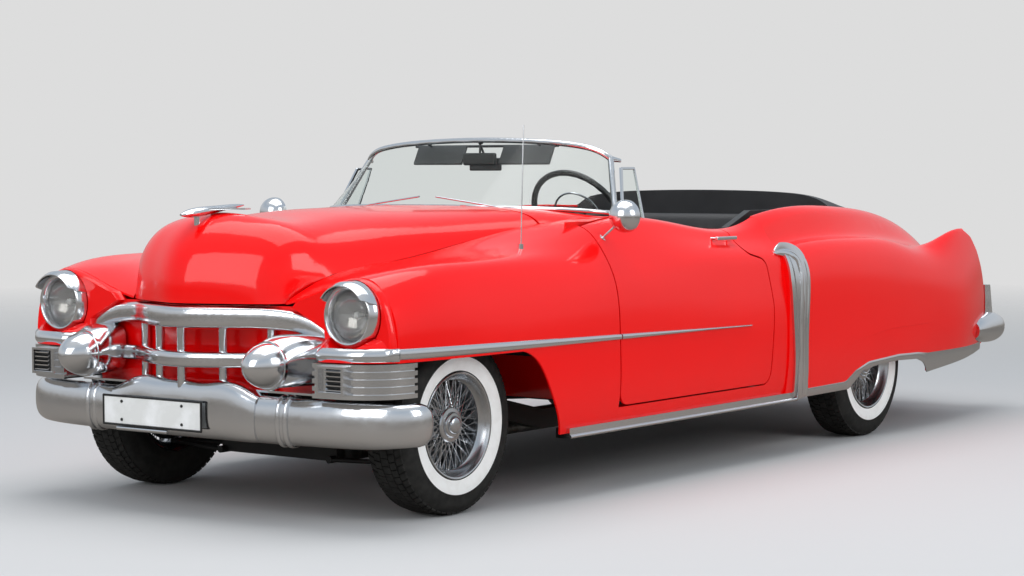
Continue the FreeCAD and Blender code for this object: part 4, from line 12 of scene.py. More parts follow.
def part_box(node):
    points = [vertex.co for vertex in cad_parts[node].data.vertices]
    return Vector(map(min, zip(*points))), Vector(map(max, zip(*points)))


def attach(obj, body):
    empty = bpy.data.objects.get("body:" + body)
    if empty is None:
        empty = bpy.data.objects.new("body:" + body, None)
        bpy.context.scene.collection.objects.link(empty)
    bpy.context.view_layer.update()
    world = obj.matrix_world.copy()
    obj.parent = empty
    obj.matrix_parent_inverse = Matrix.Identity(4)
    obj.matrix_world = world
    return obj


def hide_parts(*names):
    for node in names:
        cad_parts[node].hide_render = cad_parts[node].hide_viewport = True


bl_info = {
    "name": "Open Car Finish",
    "version": (1, 0, 0),
    "blender": (4, 5, 0),
    "location": "View3D > Sidebar > Open Car",
    "description": "Finishes a packed open car with paint, chrome, glass, tyres and trim",
    "category": "Object",
}

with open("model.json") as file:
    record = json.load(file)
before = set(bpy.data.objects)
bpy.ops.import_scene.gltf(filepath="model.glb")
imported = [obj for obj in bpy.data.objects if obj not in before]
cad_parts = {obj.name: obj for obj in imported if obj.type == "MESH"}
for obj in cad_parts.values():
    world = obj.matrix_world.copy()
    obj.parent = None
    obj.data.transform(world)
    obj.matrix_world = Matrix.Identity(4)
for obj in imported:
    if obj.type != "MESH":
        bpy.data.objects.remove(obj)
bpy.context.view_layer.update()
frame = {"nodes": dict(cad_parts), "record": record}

SMOOTH_ANGLE = math.radians(32)


# Colour and shader helpers

def from_hex(text, alpha=1.0):
    """An sRGB hex colour as linear red, green, blue and alpha."""
    values = [int(text[index:index + 2], 16) / 255 for index in (1, 3, 5)]
    linear = [v / 12.92 if v <= 0.04045 else ((v + 0.055) / 1.055) ** 2.4 for v in values]
    return (*linear, alpha)


def add_node(tree, kind, settings=None, **inputs):
    """Adds a node, sets its settings, and sets or links its inputs by name or number."""
    made = tree.nodes.new(kind)
    for name, value in (settings or {}).items():
        setattr(made, name, value)
    for name, value in inputs.items():
        key = int(name[1:]) if name[0] == "_" and name[1:].isdigit() else name.replace("_", " ")
        if isinstance(value, bpy.types.NodeSocket):
            tree.links.new(value, made.inputs[key])
        else:
            made.inputs[key].default_value = value
    return made


def start_material(name):
    """An empty material with a surface shader; returns material, node tree and shader."""
    material = bpy.data.materials.new(name)
    material.use_nodes = True
    tree = material.node_tree
    shader = tree.nodes["Principled BSDF"]
    return material, tree, shader


def mix_colour(tree, share, first, second):
    return add_node(tree, "ShaderNodeMix", {"data_type": "RGBA"}, _0=share, _6=first, _7=second).outputs[2]


def object_noise(tree, size, detail=3.0, rough=0.5):
    """Noise on object coordinates whose grains are a size in metres."""
    place = add_node(tree, "ShaderNodeTexCoord").outputs["Object"]
    made = add_node(tree, "ShaderNodeTexNoise", Vector=place, Scale=1 / size, Detail=detail,
                    Roughness=rough)
    return made.outputs["Fac"]


def ramp(tree, value, low, high, out_low, out_high):
    made = add_node(tree, "ShaderNodeMapRange", {"clamp": True}, Value=value, From_Min=low, From_Max=high,
                    To_Min=out_low, To_Max=out_high)
    return made.outputs["Result"]


def blend_tones(tree, shader, value, span, first, second, most=1.0):
    """Blends two colours into the base colour as a value rises over a span."""
    colour = mix_colour(tree, ramp(tree, value, *span, 0.0, most), first, second)
    tree.links.new(colour, shader.inputs["Base Color"])


def vary_roughness(tree, shader, value, span, low, high):
    tree.links.new(ramp(tree, value, *span, low, high), shader.inputs["Roughness"])


def bump(tree, shader, height, depth, strength=1.0):
    made = add_node(tree, "ShaderNodeBump", Strength=strength, Distance=depth, Height=height)
    tree.links.new(made.outputs["Normal"], shader.inputs["Normal"])


def flutes(tree, axis, pitch):
    """A wave along one object axis, one rise for each pitch in metres."""
    place = add_node(tree, "ShaderNodeTexCoord").outputs["Object"]
    along = add_node(tree, "ShaderNodeSeparateXYZ", Vector=place).outputs[axis]
    turns = add_node(tree, "ShaderNodeMath", {"operation": "MULTIPLY"}, _0=along, _1=2 * math.pi / pitch)
    return add_node(tree, "ShaderNodeMath", {"operation": "SINE"}, _0=turns.outputs[0]).outputs[0]


def shader_values(shader, **values):
    for name, value in values.items():
        shader.inputs[name.replace("_", " ")].default_value = value


# Materials

def enamel_paint(name, tone, deep):
    """Stoved enamel, sprayed and polished: deep colour under a clear gloss with faint orange peel."""
    material, tree, shader = start_material(name)
    cloud = object_noise(tree, 0.6, 2.0)
    blend_tones(tree, shader, cloud, (0.35, 0.65), from_hex(tone), from_hex(deep), 0.35)
    shader_values(shader, Roughness=0.40, Coat_Weight=0.75, Coat_Roughness=0.09, Specular_IOR_Level=0.05)
    bump(tree, shader, object_noise(tree, 0.006, 1.0), 0.00002, 0.25)
    return material


def chrome_plate(name, tone, roughness):
    """Chromium plate over polished steel: bright, faintly hazed by fine wiping marks."""
    material, tree, shader = start_material(name)
    haze = object_noise(tree, 0.08, 4.0)
    shader_values(shader, Base_Color=from_hex(tone), Metallic=1.0)
    vary_roughness(tree, shader, haze, (0.3, 0.7), roughness, roughness + 0.07)
    bump(tree, shader, object_noise(tree, 0.0015, 2.0), 0.00001, 0.15)
    return material


def tyre_rubber(name):
    """Vulcanised rubber, carbon black, with a dusty bloom from the mould."""
    material, tree, shader = start_material(name)
    bloom = object_noise(tree, 0.03, 5.0)
    blend_tones(tree, shader, bloom, (0.35, 0.75), from_hex("#1B1B1A"), from_hex("#2C2B29"))
    shader_values(shader, Roughness=0.72, Specular_IOR_Level=0.35)
    bump(tree, shader, object_noise(tree, 0.0012, 2.0), 0.0001, 0.5)
    return material


def white_rubber(name):
    """White band of the sidewall: titanium-filled rubber, slightly warm, a little soiled."""
    material, tree, shader = start_material(name)
    soil = object_noise(tree, 0.05, 6.0)
    blend_tones(tree, shader, soil, (0.45, 0.8), from_hex("#FBFAF7"), from_hex("#EFEDE8"))
    shader_values(shader, Roughness=0.55)
    bump(tree, shader, object_noise(tree, 0.0015, 2.0), 0.00008, 0.4)
    return material


def clear_glass(name, tint="#F2F7F5"):
    """Laminated sheet glass, polished both sides, with a faint green body tint."""
    material, tree, shader = start_material(name)
    shader_values(shader, Base_Color=from_hex(tint), Roughness=0.01, IOR=1.12, Transmission_Weight=1.0,
                  Specular_IOR_Level=0.9)
    smear = object_noise(tree, 0.12, 4.0)
    vary_roughness(tree, shader, smear, (0.4, 0.8), 0.0, 0.03)
    return material


def lamp_glass(name):
    """Pressed lens glass: upright flutes on its back spread the beam."""
    material, tree, shader = start_material(name)
    shader_values(shader, Base_Color=from_hex("#F4F7FA"), Roughness=0.04, IOR=1.3, Transmission_Weight=0.92)
    bump(tree, shader, flutes(tree, "X", 0.009), 0.0012, 0.12)
    return material


def red_lens(name):
    """Moulded red acrylic over a reflector: glowing deep red with moulded flutes."""
    material, tree, shader = start_material(name)
    shader_values(shader, Base_Color=from_hex("#B3060C"), Roughness=0.08, IOR=1.49, Coat_Weight=0.6,
                  Transmission_Weight=0.25, Coat_Roughness=0.05)
    bump(tree, shader, flutes(tree, "Z", 0.007), 0.0008, 0.6)
    return material


def satin_paint(name, tone, roughness=0.5, grain=0.004):
    """Chassis enamel, brushed or sprayed thin: low sheen with dust in its texture."""
    material, tree, shader = start_material(name)
    dust = object_noise(tree, 0.09, 5.0)
    lighter = [min(1.0, channel * 1.8 + 0.01) for channel in from_hex(tone)[:3]] + [1.0]
    blend_tones(tree, shader, dust, (0.45, 0.8), from_hex(tone), lighter)
    vary_roughness(tree, shader, dust, (0.3, 0.8), roughness, roughness + 0.2)
    bump(tree, shader, object_noise(tree, grain, 3.0), 0.0002, 0.4)
    return material


def plain_steel(name):
    """Bare tinned sheet steel: dull metal streaked by road dirt."""
    material, tree, shader = start_material(name)
    stain = object_noise(tree, 0.07, 6.0, 0.7)
    blend_tones(tree, shader, stain, (0.4, 0.7), from_hex("#8A8A88"), from_hex("#57524B"))
    shader_values(shader, Metallic=0.85)
    vary_roughness(tree, shader, stain, (0.3, 0.8), 0.35, 0.65)
    bump(tree, shader, object_noise(tree, 0.01, 4.0), 0.0003, 0.4)
    return material


def seat_leather(name, tone, light):
    """Dressed hide: pebbled grain of about a millimetre and a half, its gloss varying in broad patches."""
    material, tree, shader = start_material(name)
    place = add_node(tree, "ShaderNodeTexCoord").outputs["Object"]
    grain = add_node(tree, "ShaderNodeTexVoronoi", {"feature": "DISTANCE_TO_EDGE"}, Vector=place,
                     Scale=1 / 0.0022).outputs["Distance"]
    pebble = ramp(tree, grain, 0.0, 0.25, 0.0, 1.0)
    cloud = object_noise(tree, 0.12, 4.0)
    blend_tones(tree, shader, cloud, (0.35, 0.75), from_hex(tone), from_hex(light))
    vary_roughness(tree, shader, cloud, (0.3, 0.7), 0.38, 0.52)
    bump(tree, shader, pebble, 0.0003, 0.35)
    return material


def loop_carpet(name, tone):
    """Wool carpet with cut loops two to three millimetres across."""
    material, tree, shader = start_material(name)
    tuft = object_noise(tree, 0.003, 2.0)
    wear = object_noise(tree, 0.25, 4.0)
    lighter = [channel * 2.2 + 0.006 for channel in from_hex(tone)[:3]] + [1.0]
    colour = mix_colour(tree, ramp(tree, tuft, 0.3, 0.7, 0.0, 1.0), from_hex(tone), lighter)
    blend_tones(tree, shader, wear, (0.5, 0.8), colour, lighter, 0.4)
    shader_values(shader, Roughness=0.95, Sheen_Weight=0.35, Sheen_Roughness=0.5)
    bump(tree, shader, tuft, 0.003, 0.8)
    return material


def moulded_plastic(name, tone, roughness=0.3):
    """Compression-moulded plastic: smooth, with slight sink and hand polish."""
    material, tree, shader = start_material(name)
    wear = object_noise(tree, 0.04, 4.0)
    shader_values(shader, Base_Color=from_hex(tone), Coat_Weight=0.3, Coat_Roughness=0.15)
    vary_roughness(tree, shader, wear, (0.3, 0.7), roughness, roughness + 0.15)
    bump(tree, shader, object_noise(tree, 0.003, 2.0), 0.00005, 0.3)
    return material


def build_materials():
    made = {
        "red_paint": enamel_paint("stoved_red_enamel", "#FB0203", "#F00204"),
        "chrome": chrome_plate("chromium_plate", "#DEE0E3", 0.12),
        "spoke_chrome": chrome_plate("chromium_plate_spokes", "#C4C6C9", 0.2),
        "tyre": tyre_rubber("vulcanised_rubber"),
        "whitewall": white_rubber("white_sidewall_rubber"),
        "bulb": moulded_plastic("frosted_bulb_glass", "#EDEBE2", 0.2),
        "glass": clear_glass("laminated_glass"),
        "lamp_glass": lamp_glass("pressed_lens_glass"),
        "red_lens": red_lens("moulded_red_acrylic"),
        "black": satin_paint("black_chassis_enamel", "#121212"),
        "iron": satin_paint("cast_iron_enamel", "#1E2226", 0.55, 0.006),
        "steel": plain_steel("tinned_sheet_steel"),
        "leather": seat_leather("dressed_hide_charcoal", "#2A2A2B", "#363536"),
        "carpet": loop_carpet("wool_carpet_charcoal", "#161618"),
        "dash": satin_paint("dash_enamel_charcoal", "#1B1C1E", 0.35, 0.002),
        "plastic": moulded_plastic("moulded_black_plastic", "#131314"),
        "vinyl": seat_leather("coated_cloth_grey", "#3A3B3D", "#454648"),
        "boot_cloth": seat_leather("coated_cloth_black", "#1E1E20", "#272729"),
        "plate_paint": satin_paint("white_plate_enamel", "#E4E4E1", 0.35, 0.002),
        "mirror_silver": chrome_plate("silvered_glass", "#E2E5E7", 0.02),
        "lamp_silver": chrome_plate("silvered_lamp_bowl", "#9C978F", 0.08),
        "dial_face": moulded_plastic("printed_dial_face", "#D8D4C4", 0.4),
        # painted shade: a black sheet that stands for the shadowed hollow behind the parking lamps' slats
        "recess": satin_paint("parking_lamp_painted_shade", "#141414", 0.6, 0.002),
    }
    return made


MATERIALS = {}


# Mesh helpers

def finish_piece(name, mesh_builder, material, body="car_body", replaces=(), angle=SMOOTH_ANGLE):
    """Turns a bmesh into a piece that rides on a body, smooth except over its sharp edges."""
    mesh = bpy.data.meshes.new(name)
    for edge in mesh_builder.edges:
        if len(edge.link_faces) == 2:
            edge.smooth = edge.calc_face_angle(0.0) < angle
    for face in mesh_builder.faces:
        face.smooth = True
    mesh_builder.to_mesh(mesh)
    mesh_builder.free()
    piece = bpy.data.objects.new(name, mesh)
    bpy.context.scene.collection.objects.link(piece)
    for each in (material if isinstance(material, (list, tuple)) else [material]):
        mesh.materials.append(MATERIALS[each])
    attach(piece, body)
    if replaces:
        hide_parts(*replaces)
    return piece


def node_body(node):
    for body, nodes in frame["record"]["behaviour"]["bodies"].items():
        if node in nodes:
            return body
    raise RuntimeError("no body holds the node " + node)


def node_copy(node):
    """A merged copy of a node's mesh."""
    made = bmesh.new()
    made.from_mesh(frame["nodes"][node].data)
    bmesh.ops.remove_doubles(made, verts=made.verts, dist=0.00002)
    return made


def dress_node(node, material, angle=SMOOTH_ANGLE):
    """A smooth-shaded copy stands for the node."""
    return finish_piece(node + "_finish", node_copy(node), material, node_body(node), (node,),
                        angle)


def revolve(made, profile, centre, axis, steps, close=True):
    """Spins a profile of (radius, along) pairs about an axis through a centre."""
    axis = Vector(axis).normalized()
    side = axis.orthogonal().normalized()
    verts = [made.verts.new(Vector(centre) + side * radius + axis * along) for radius, along in profile]
    edges = [made.edges.new(pair) for pair in zip(verts, verts[1:])]
    if close:
        edges.append(made.edges.new((verts[-1], verts[0])))
    return bmesh.ops.spin(made, geom=verts + edges, cent=Vector(centre), axis=axis, dvec=(0, 0, 0),
                          angle=2 * math.pi, steps=steps, use_merge=True, use_duplicate=False)


def tube_between(made, start, end, radius, sides=8, radius_end=None):
    """A round bar between two points, closed at both ends."""
    start = Vector(start)
    end = Vector(end)
    way = end - start
    turn = way.to_track_quat("Z", "Y").to_matrix().to_4x4()
    place = Matrix.Translation((start + end) / 2) @ turn
    return bmesh.ops.create_cone(made, cap_ends=True, segments=sides, radius1=radius,
                                 radius2=radius if radius_end is None else radius_end,
                                 depth=way.length, matrix=place)


def box_part(made, low, high):
    """A box between two corners; returns its vertices."""
    low = Vector(low)
    high = Vector(high)
    place = Matrix.Translation((low + high) / 2) @ Matrix.Diagonal((*(high - low), 1))
    return bmesh.ops.create_cube(made, size=1.0, matrix=place)["verts"]


def turn_about(made, verts, place, degrees):
    """Turns vertices about a line across the car through a place."""
    place = Vector(place)
    there, back = Matrix.Translation(place), Matrix.Translation(-place)
    turn = there @ Matrix.Rotation(math.radians(degrees), 4, "X") @ back
    bmesh.ops.transform(made, matrix=turn, verts=verts)


def panel_trees(*nodes):
    """Search trees of panels' meshes, for the pieces that hug them."""
    trees = []
    for node in nodes:
        made = node_copy(node)
        trees.append(BVHTree.FromBMesh(made))
        made.free()
    return trees


def place_on(panels, start, way):
    """Where a ray first meets any of the panels, or None."""
    hits = [tree.ray_cast(start, way, RAY_REACH) for tree in panels]
    hits = [hit for hit in hits if hit[0] is not None]
    return min(hits, key=lambda hit: hit[3])[0] if hits else None


def station_places(panels, row):
    """Where one row of (start, way) rays meets the panels; past their edge it runs straight on."""
    places = []
    for index, (start, way) in enumerate(row):
        place = place_on(panels, start, way)
        if place is None:
            if not places:
                return None
            place = places[-1] + (start - row[index - 1][0])
        places.append(place)
    return places


def even_out(stations, reach):
    """Gives each station one depth across the car, averaged over its neighbours."""
    depths = [sum(place.x for place in places) / len(places) for places in stations]
    for index, places in enumerate(stations):
        near = depths[max(0, index - reach):index + reach + 1]
        for place in places:
            place.x = sum(near) / len(near)


def hugging_strip(name, panels, rays, edge, proud, body="car_body", reach=0):
    """A crowned chrome moulding along rows of (start, way) rays that meet the panels it lies on."""
    rows = len(rays[0])
    found = [(row, station_places(panels, row)) for row in rays]
    found = [(row, places) for row, places in found if places]
    if len(found) < 2:
        raise RuntimeError(name + " meets no panel")
    if reach:
        even_out([places for row, places in found], reach)
    rings = []
    for row, places in found:
        tops = []
        for index, place in enumerate(places):
            share = 2 * index / (rows - 1) - 1
            tops.append(place - row[index][1] * (edge + proud * math.sqrt(1 - share * share)))
        inwards = row[0][1] * 0.003
        rings.append(tops + [places[-1] + inwards, places[0] + inwards, tops[0]])
    made = bmesh.new()
    across = rows + 2
    bmesh.ops.create_grid(made, x_segments=len(rings) - 1, y_segments=across, size=1.0)
    ordered = sorted(made.verts, key=lambda vert: (round(vert.co.x, 5), vert.co.y))
    for index, vert in enumerate(ordered):
        vert.co = rings[index // (across + 1)][index % (across + 1)]
    bmesh.ops.remove_doubles(made, verts=made.verts, dist=0.00001)
    bmesh.ops.holes_fill(made, edges=[item for item in made.edges if item.is_boundary])
    bmesh.ops.recalc_face_normals(made, faces=made.faces)
    return finish_piece(name, made, "chrome", body)


def between(table, place):
    """The value at a place in a table of (place, value) pairs, in a straight line between them."""
    for (low, first), (high, second) in zip(table, table[1:]):
        if place <= high:
            return first + (second - first) * max(0.0, (place - low) / (high - low))
    return table[-1][1]


def tidy_normals(made):
    bmesh.ops.remove_doubles(made, verts=made.verts, dist=0.00001)
    bmesh.ops.recalc_face_normals(made, faces=made.faces)


# Settings that a user would change

class CarSettings(bpy.types.PropertyGroup):
    """Sizes and colours of the finish."""
    tread_pitches: IntProperty(name="Tread pitches", description="Blocks round each tyre", default=66,
                               min=24, max=120)
    spoke_radius: FloatProperty(name="Spoke radius", description="Half the thickness of a wheel spoke",
                                default=0.0017, min=0.001, max=0.004, unit="LENGTH")
    floor_tone: FloatVectorProperty(name="Floor", description="Colour of the floor", subtype="COLOR",
                                    size=3, default=from_hex("#C9C9C9")[:3], min=0, max=1)


# Wheels

AXLES = {
    "front_left": (0.741, -2.019, 1), "front_right": (-0.741, -2.019, -1),
    "rear_left": (0.801, 1.181, 1), "rear_right": (-0.801, 1.181, -1),
}
AXLE_HEIGHT = 0.342
TYRE_RADIUS = 0.342
# Half the tyre's section: (radius, distance from the tyre's middle), from bead to crown
TYRE_HALF = [
    (0.186, 0.072), (0.192, 0.082), (0.204, 0.089), (0.208, 0.0935), (0.236, 0.1010), (0.262, 0.1030),
    (0.266, 0.1010), (0.290, 0.1000), (0.312, 0.0930), (0.324, 0.0850), (0.331, 0.0770),
    (0.334, 0.0560), (0.3352, 0.0280),
]
TYRE_SECTION = (TYRE_HALF + [(0.3355, 0.0)] + [(radius, -along) for radius, along in TYRE_HALF[::-1]]
                + [(0.183, -0.060), (0.183, 0.060)])
WHITE_FROM = 0.2065
WHITE_TO = 0.2635


def build_tyre(corner):
    x, y, side = AXLES[corner]
    centre = Vector((x, y, AXLE_HEIGHT))
    settings = bpy.context.scene.car_finish
    made = bmesh.new()
    revolve(made, [(radius, along * side) for radius, along in TYRE_SECTION], centre, (1, 0, 0), 96)
    tidy_normals(made)
    for face in made.faces:
        middle = face.calc_center_median() - centre
        radius = math.hypot(middle.y, middle.z)
        if middle.x * side > 0.08 and WHITE_FROM < radius < WHITE_TO:
            face.material_index = 1
    pitches = settings.tread_pitches
    turn = 2 * math.pi / pitches
    base = 0.3335
    top = TYRE_RADIUS
    rows = [(-0.079, -0.052, 0.55, 0.8), (-0.049, -0.020, 0.0, 0.84), (-0.017, 0.017, 0.45, 0.9),
            (0.020, 0.049, 0.0, 0.84), (0.052, 0.079, 0.55, 0.8)]
    for low, high, shift, fill in rows:
        for index in range(pitches):
            skew = 0.35 * abs(low + high) / 0.13
            drop = 0.006 if abs(low + high) > 0.1 else 0.0
            add_tread_block(made, centre, low, high, (index + shift) * turn, turn * fill, turn * skew,
                            base - drop, top - drop * 0.35)
    return finish_piece("tyre_" + corner + "_treaded", made, ["tyre", "whitewall"], "wheel_" + corner,
                        ("tyre_" + corner,))


def add_tread_block(made, centre, low, high, angle, width, skew, base, top):
    """One block of the tread, its outer end set back along the turn."""
    verts = []
    outer = high if abs(high) > abs(low) else low
    for x in (low, high):
        lag = skew if x == outer else 0.0
        for turn in (angle + lag, angle + lag + width):
            for radius in (base, top if x != outer or abs(x) < 0.06 else top - 0.004):
                verts.append(made.verts.new(centre + Vector((x, radius * math.sin(turn),
                                                             radius * math.cos(turn)))))
    hull = bmesh.ops.convex_hull(made, input=verts, use_existing_faces=False)
    return hull


def build_wheel(corner):
    """Wire wheel: stepped rim, crossed spokes with nipples, hub shell and stepped cap."""
    x, y, side = AXLES[corner]
    centre = Vector((x, y, AXLE_HEIGHT))
    spoke = bpy.context.scene.car_finish.spoke_radius
    made = bmesh.new()
    rim = [(0.2035, 0.094), (0.2005, 0.0965), (0.196, 0.095), (0.192, 0.088), (0.187, 0.080),
           (0.182, 0.066), (0.172, 0.056), (0.168, 0.030), (0.166, -0.030), (0.170, -0.056),
           (0.182, -0.070),
           (0.190, -0.084), (0.2015, -0.091), (0.2035, -0.086), (0.193, -0.078), (0.184, -0.064),
           (0.174, -0.050), (0.171, -0.030), (0.173, 0.030), (0.178, 0.052), (0.188, 0.062), (0.192, 0.078),
           (0.197, 0.088)]
    revolve(made, [(radius, along * side) for radius, along in rim], centre, (1, 0, 0), 72)
    hub = [(0.030, -0.030), (0.052, -0.030), (0.056, -0.022), (0.056, -0.012), (0.040, -0.004),
           (0.038, 0.040), (0.046, 0.044), (0.066, 0.050), (0.068, 0.056), (0.064, 0.061), (0.050, 0.063),
           (0.048, 0.070),
           (0.045, 0.073), (0.035, 0.074), (0.033, 0.082), (0.029, 0.086), (0.020, 0.0885), (0.0, 0.0895),
           (0.0, -0.030)]
    revolve(made, [(radius, along * side) for radius, along in hub], centre, (1, 0, 0), 48, close=False)
    tidy_normals(made)
    for ring, (hub_radius, hub_x, rim_radius, rim_x, cross, count) in enumerate((
            (0.062, 0.052, 0.172, 0.040, 0.46, 24), (0.054, 0.046, 0.169, 0.010, -0.42, 24),
            (0.052, -0.016, 0.168, -0.020, 0.40, 20))):
        for index in range(count):
            angle = 2 * math.pi * (index + 0.25 * ring) / count
            for sign in (1, -1):
                inner_angle = angle + sign * cross
                start = centre + Vector((hub_x * side, hub_radius * math.cos(inner_angle),
                                         hub_radius * math.sin(inner_angle)))
                end = centre + Vector((rim_x * side, rim_radius * math.cos(angle + sign * 0.03),
                                       rim_radius * math.sin(angle + sign * 0.03)))
                tube_between(made, start, end, spoke, 6)
                tube_between(made, end - (end - start).normalized() * 0.016, end, spoke * 1.7, 6)
    finish_piece("wire_wheel_" + corner, made, "spoke_chrome", "wheel_" + corner,
                 ("wheel_" + corner,))
    drum = bmesh.new()
    shell = [(0.058, -0.034), (0.150, -0.034), (0.156, -0.038), (0.156, -0.046), (0.152, -0.046),
             (0.148, -0.040), (0.058, -0.040)]
    revolve(drum, [(radius, along * side) for radius, along in shell], centre, (1, 0, 0), 64)
    tidy_normals(drum)
    finish_piece("brake_drum_" + corner, drum, "iron", "wheel_" + corner)


# Steering wheel, dash and other cabin pieces

WHEEL_CENTRE = Vector((0.38, -0.575, 1.10))
COLUMN_WAY = Vector((0.0, math.cos(math.radians(30)), math.sin(math.radians(30))))
RIM_RADIUS = 0.222
RIM_GRIP = 0.0135
HORN_RADIUS = 0.118
DASH_FACE = -0.8438


def wheel_frame():
    """A matrix from the steering wheel's own plane to its place, its axis along the column."""
    across = Vector((1, 0, 0))
    up = COLUMN_WAY.cross(across)
    turn = Matrix((across, up, COLUMN_WAY)).transposed().to_4x4()
    return Matrix.Translation(WHEEL_CENTRE) @ turn


def ring_section(radius, thickness, lift, step):
    """A round section, a step in degrees to a side, for a ring of some radius."""
    turns = [math.radians(degrees) for degrees in range(0, 360, step)]
    return [(radius + thickness * math.cos(turn), lift + thickness * math.sin(turn)) for turn in turns]


def build_steering_wheel():
    """Moulded rim with finger grips, two spokes, horn ring and domed button."""
    made = bmesh.new()
    revolve(made, ring_section(RIM_RADIUS, RIM_GRIP, 0.0, 30), (0, 0, 0), (0, 0, 1), 120)
    tidy_normals(made)
    for vert in made.verts:
        flat = Vector((vert.co.x, vert.co.y, 0))
        angle = math.atan2(vert.co.y, vert.co.x)
        centre = flat.normalized() * RIM_RADIUS
        grip = 1.0 - 0.09 * max(0.0, math.cos(angle * 30)) if vert.co.z < 0.004 else 1.0
        vert.co = centre + (vert.co - centre) * grip
    for sign in (1, -1):
        for lift in (0.012, -0.012):
            tube_between(made, (sign * 0.03, lift * 0.8, -0.012), (sign * (RIM_RADIUS - 0.004), lift, 0.0),
                         0.007, 10, 0.0055)
    revolve(made, [(0.0, -0.030), (0.030, -0.030), (0.038, -0.022), (0.038, -0.004), (0.034, 0.004),
                   (0.0, 0.004)],
            (0, 0, 0), (0, 0, 1), 40, close=False)
    tidy_normals(made)
    bmesh.ops.transform(made, matrix=wheel_frame(), verts=made.verts)
    finish_piece("steering_wheel_rim", made, "plastic", "steering_wheel", ("steering_wheel",))
    bright = bmesh.new()
    revolve(bright, ring_section(HORN_RADIUS, 0.0048, 0.004, 45), (0, 0, 0), (0, 0, 1), 72)
    for angle in (math.pi, 0.0):
        way = Vector((math.cos(angle), math.sin(angle), 0))
        tube_between(bright, way * 0.02 + Vector((0, 0, 0.004)), way * HORN_RADIUS + Vector((0, 0, 0.004)),
                     0.0035, 8)
    revolve(bright, [(0.026, 0.002), (0.026, 0.009), (0.022, 0.013), (0.012, 0.016), (0.0, 0.017),
                     (0.0, 0.002)],
            (0, 0, 0), (0, 0, 1), 36, close=False)
    tidy_normals(bright)
    bmesh.ops.transform(bright, matrix=wheel_frame(), verts=bright.verts)
    finish_piece("horn_ring", bright, "chrome", "steering_wheel", ())


def build_instruments():
    """The speedometer strip, small gauges, radio, glovebox lid and knobs on the dash's face."""
    chrome = bmesh.new()
    dark = bmesh.new()
    pale = bmesh.new()
    for middle, half, low, high in ((0.38, 0.125, 1.009, 1.062), (0.0, 0.095, 1.009, 1.052),
                                    (-0.40, 0.175, 1.006, 1.060)):
        box_part(chrome, (middle - half, DASH_FACE - 0.002, low), (middle + half, DASH_FACE + 0.003, high))
        box_part(dark, (middle - half + 0.004, DASH_FACE, low + 0.004),
                 (middle + half - 0.004, DASH_FACE + 0.0045, high - 0.004))
    for index in range(13):
        x = 0.285 + index * 0.19 / 12
        tall = 0.014 if index % 2 == 0 else 0.008
        box_part(pale, (x - 0.0009, DASH_FACE + 0.004, 1.032),
                 (x + 0.0009, DASH_FACE + 0.0052, 1.032 + tall))
    for index in range(9):
        x = -0.072 + index * 0.018
        box_part(pale, (x - 0.0007, DASH_FACE + 0.004, 1.030), (x + 0.0007, DASH_FACE + 0.0052, 1.040))
    box_part(pale, (0.3305, DASH_FACE + 0.004, 1.020), (0.3320, DASH_FACE + 0.0056, 1.046))
    for x in (0.16, 0.21, 0.55, 0.60, -0.12, 0.12, -0.16):
        tube_between(chrome, (x, DASH_FACE - 0.001, 1.030), (x, DASH_FACE + 0.004, 1.030), 0.013, 24)
        tube_between(dark, (x, DASH_FACE + 0.003, 1.030), (x, DASH_FACE + 0.016, 1.030), 0.009, 20, 0.007)
    for made, name, material in ((chrome, "dash_bezels", "chrome"), (dark, "dash_faces", "plastic"),
                                 (pale, "dash_markings", "dial_face")):
        finish_piece(name, made, material)
    pedals = bmesh.new()
    for x, half, top in ((0.46, 0.032, 0.50), (0.28, 0.045, 0.56)):
        place = Vector((x, -0.985, top))
        pad = box_part(pedals, place - Vector((half, 0.006, 0.035)), place + Vector((half, 0.006, 0.035)))
        turn_about(pedals, pad, place, -35)
        tube_between(pedals, place, place + Vector((0, -0.075, 0.085)), 0.007, 10)
    finish_piece("pedals", pedals, "plastic")


# Seats and trim

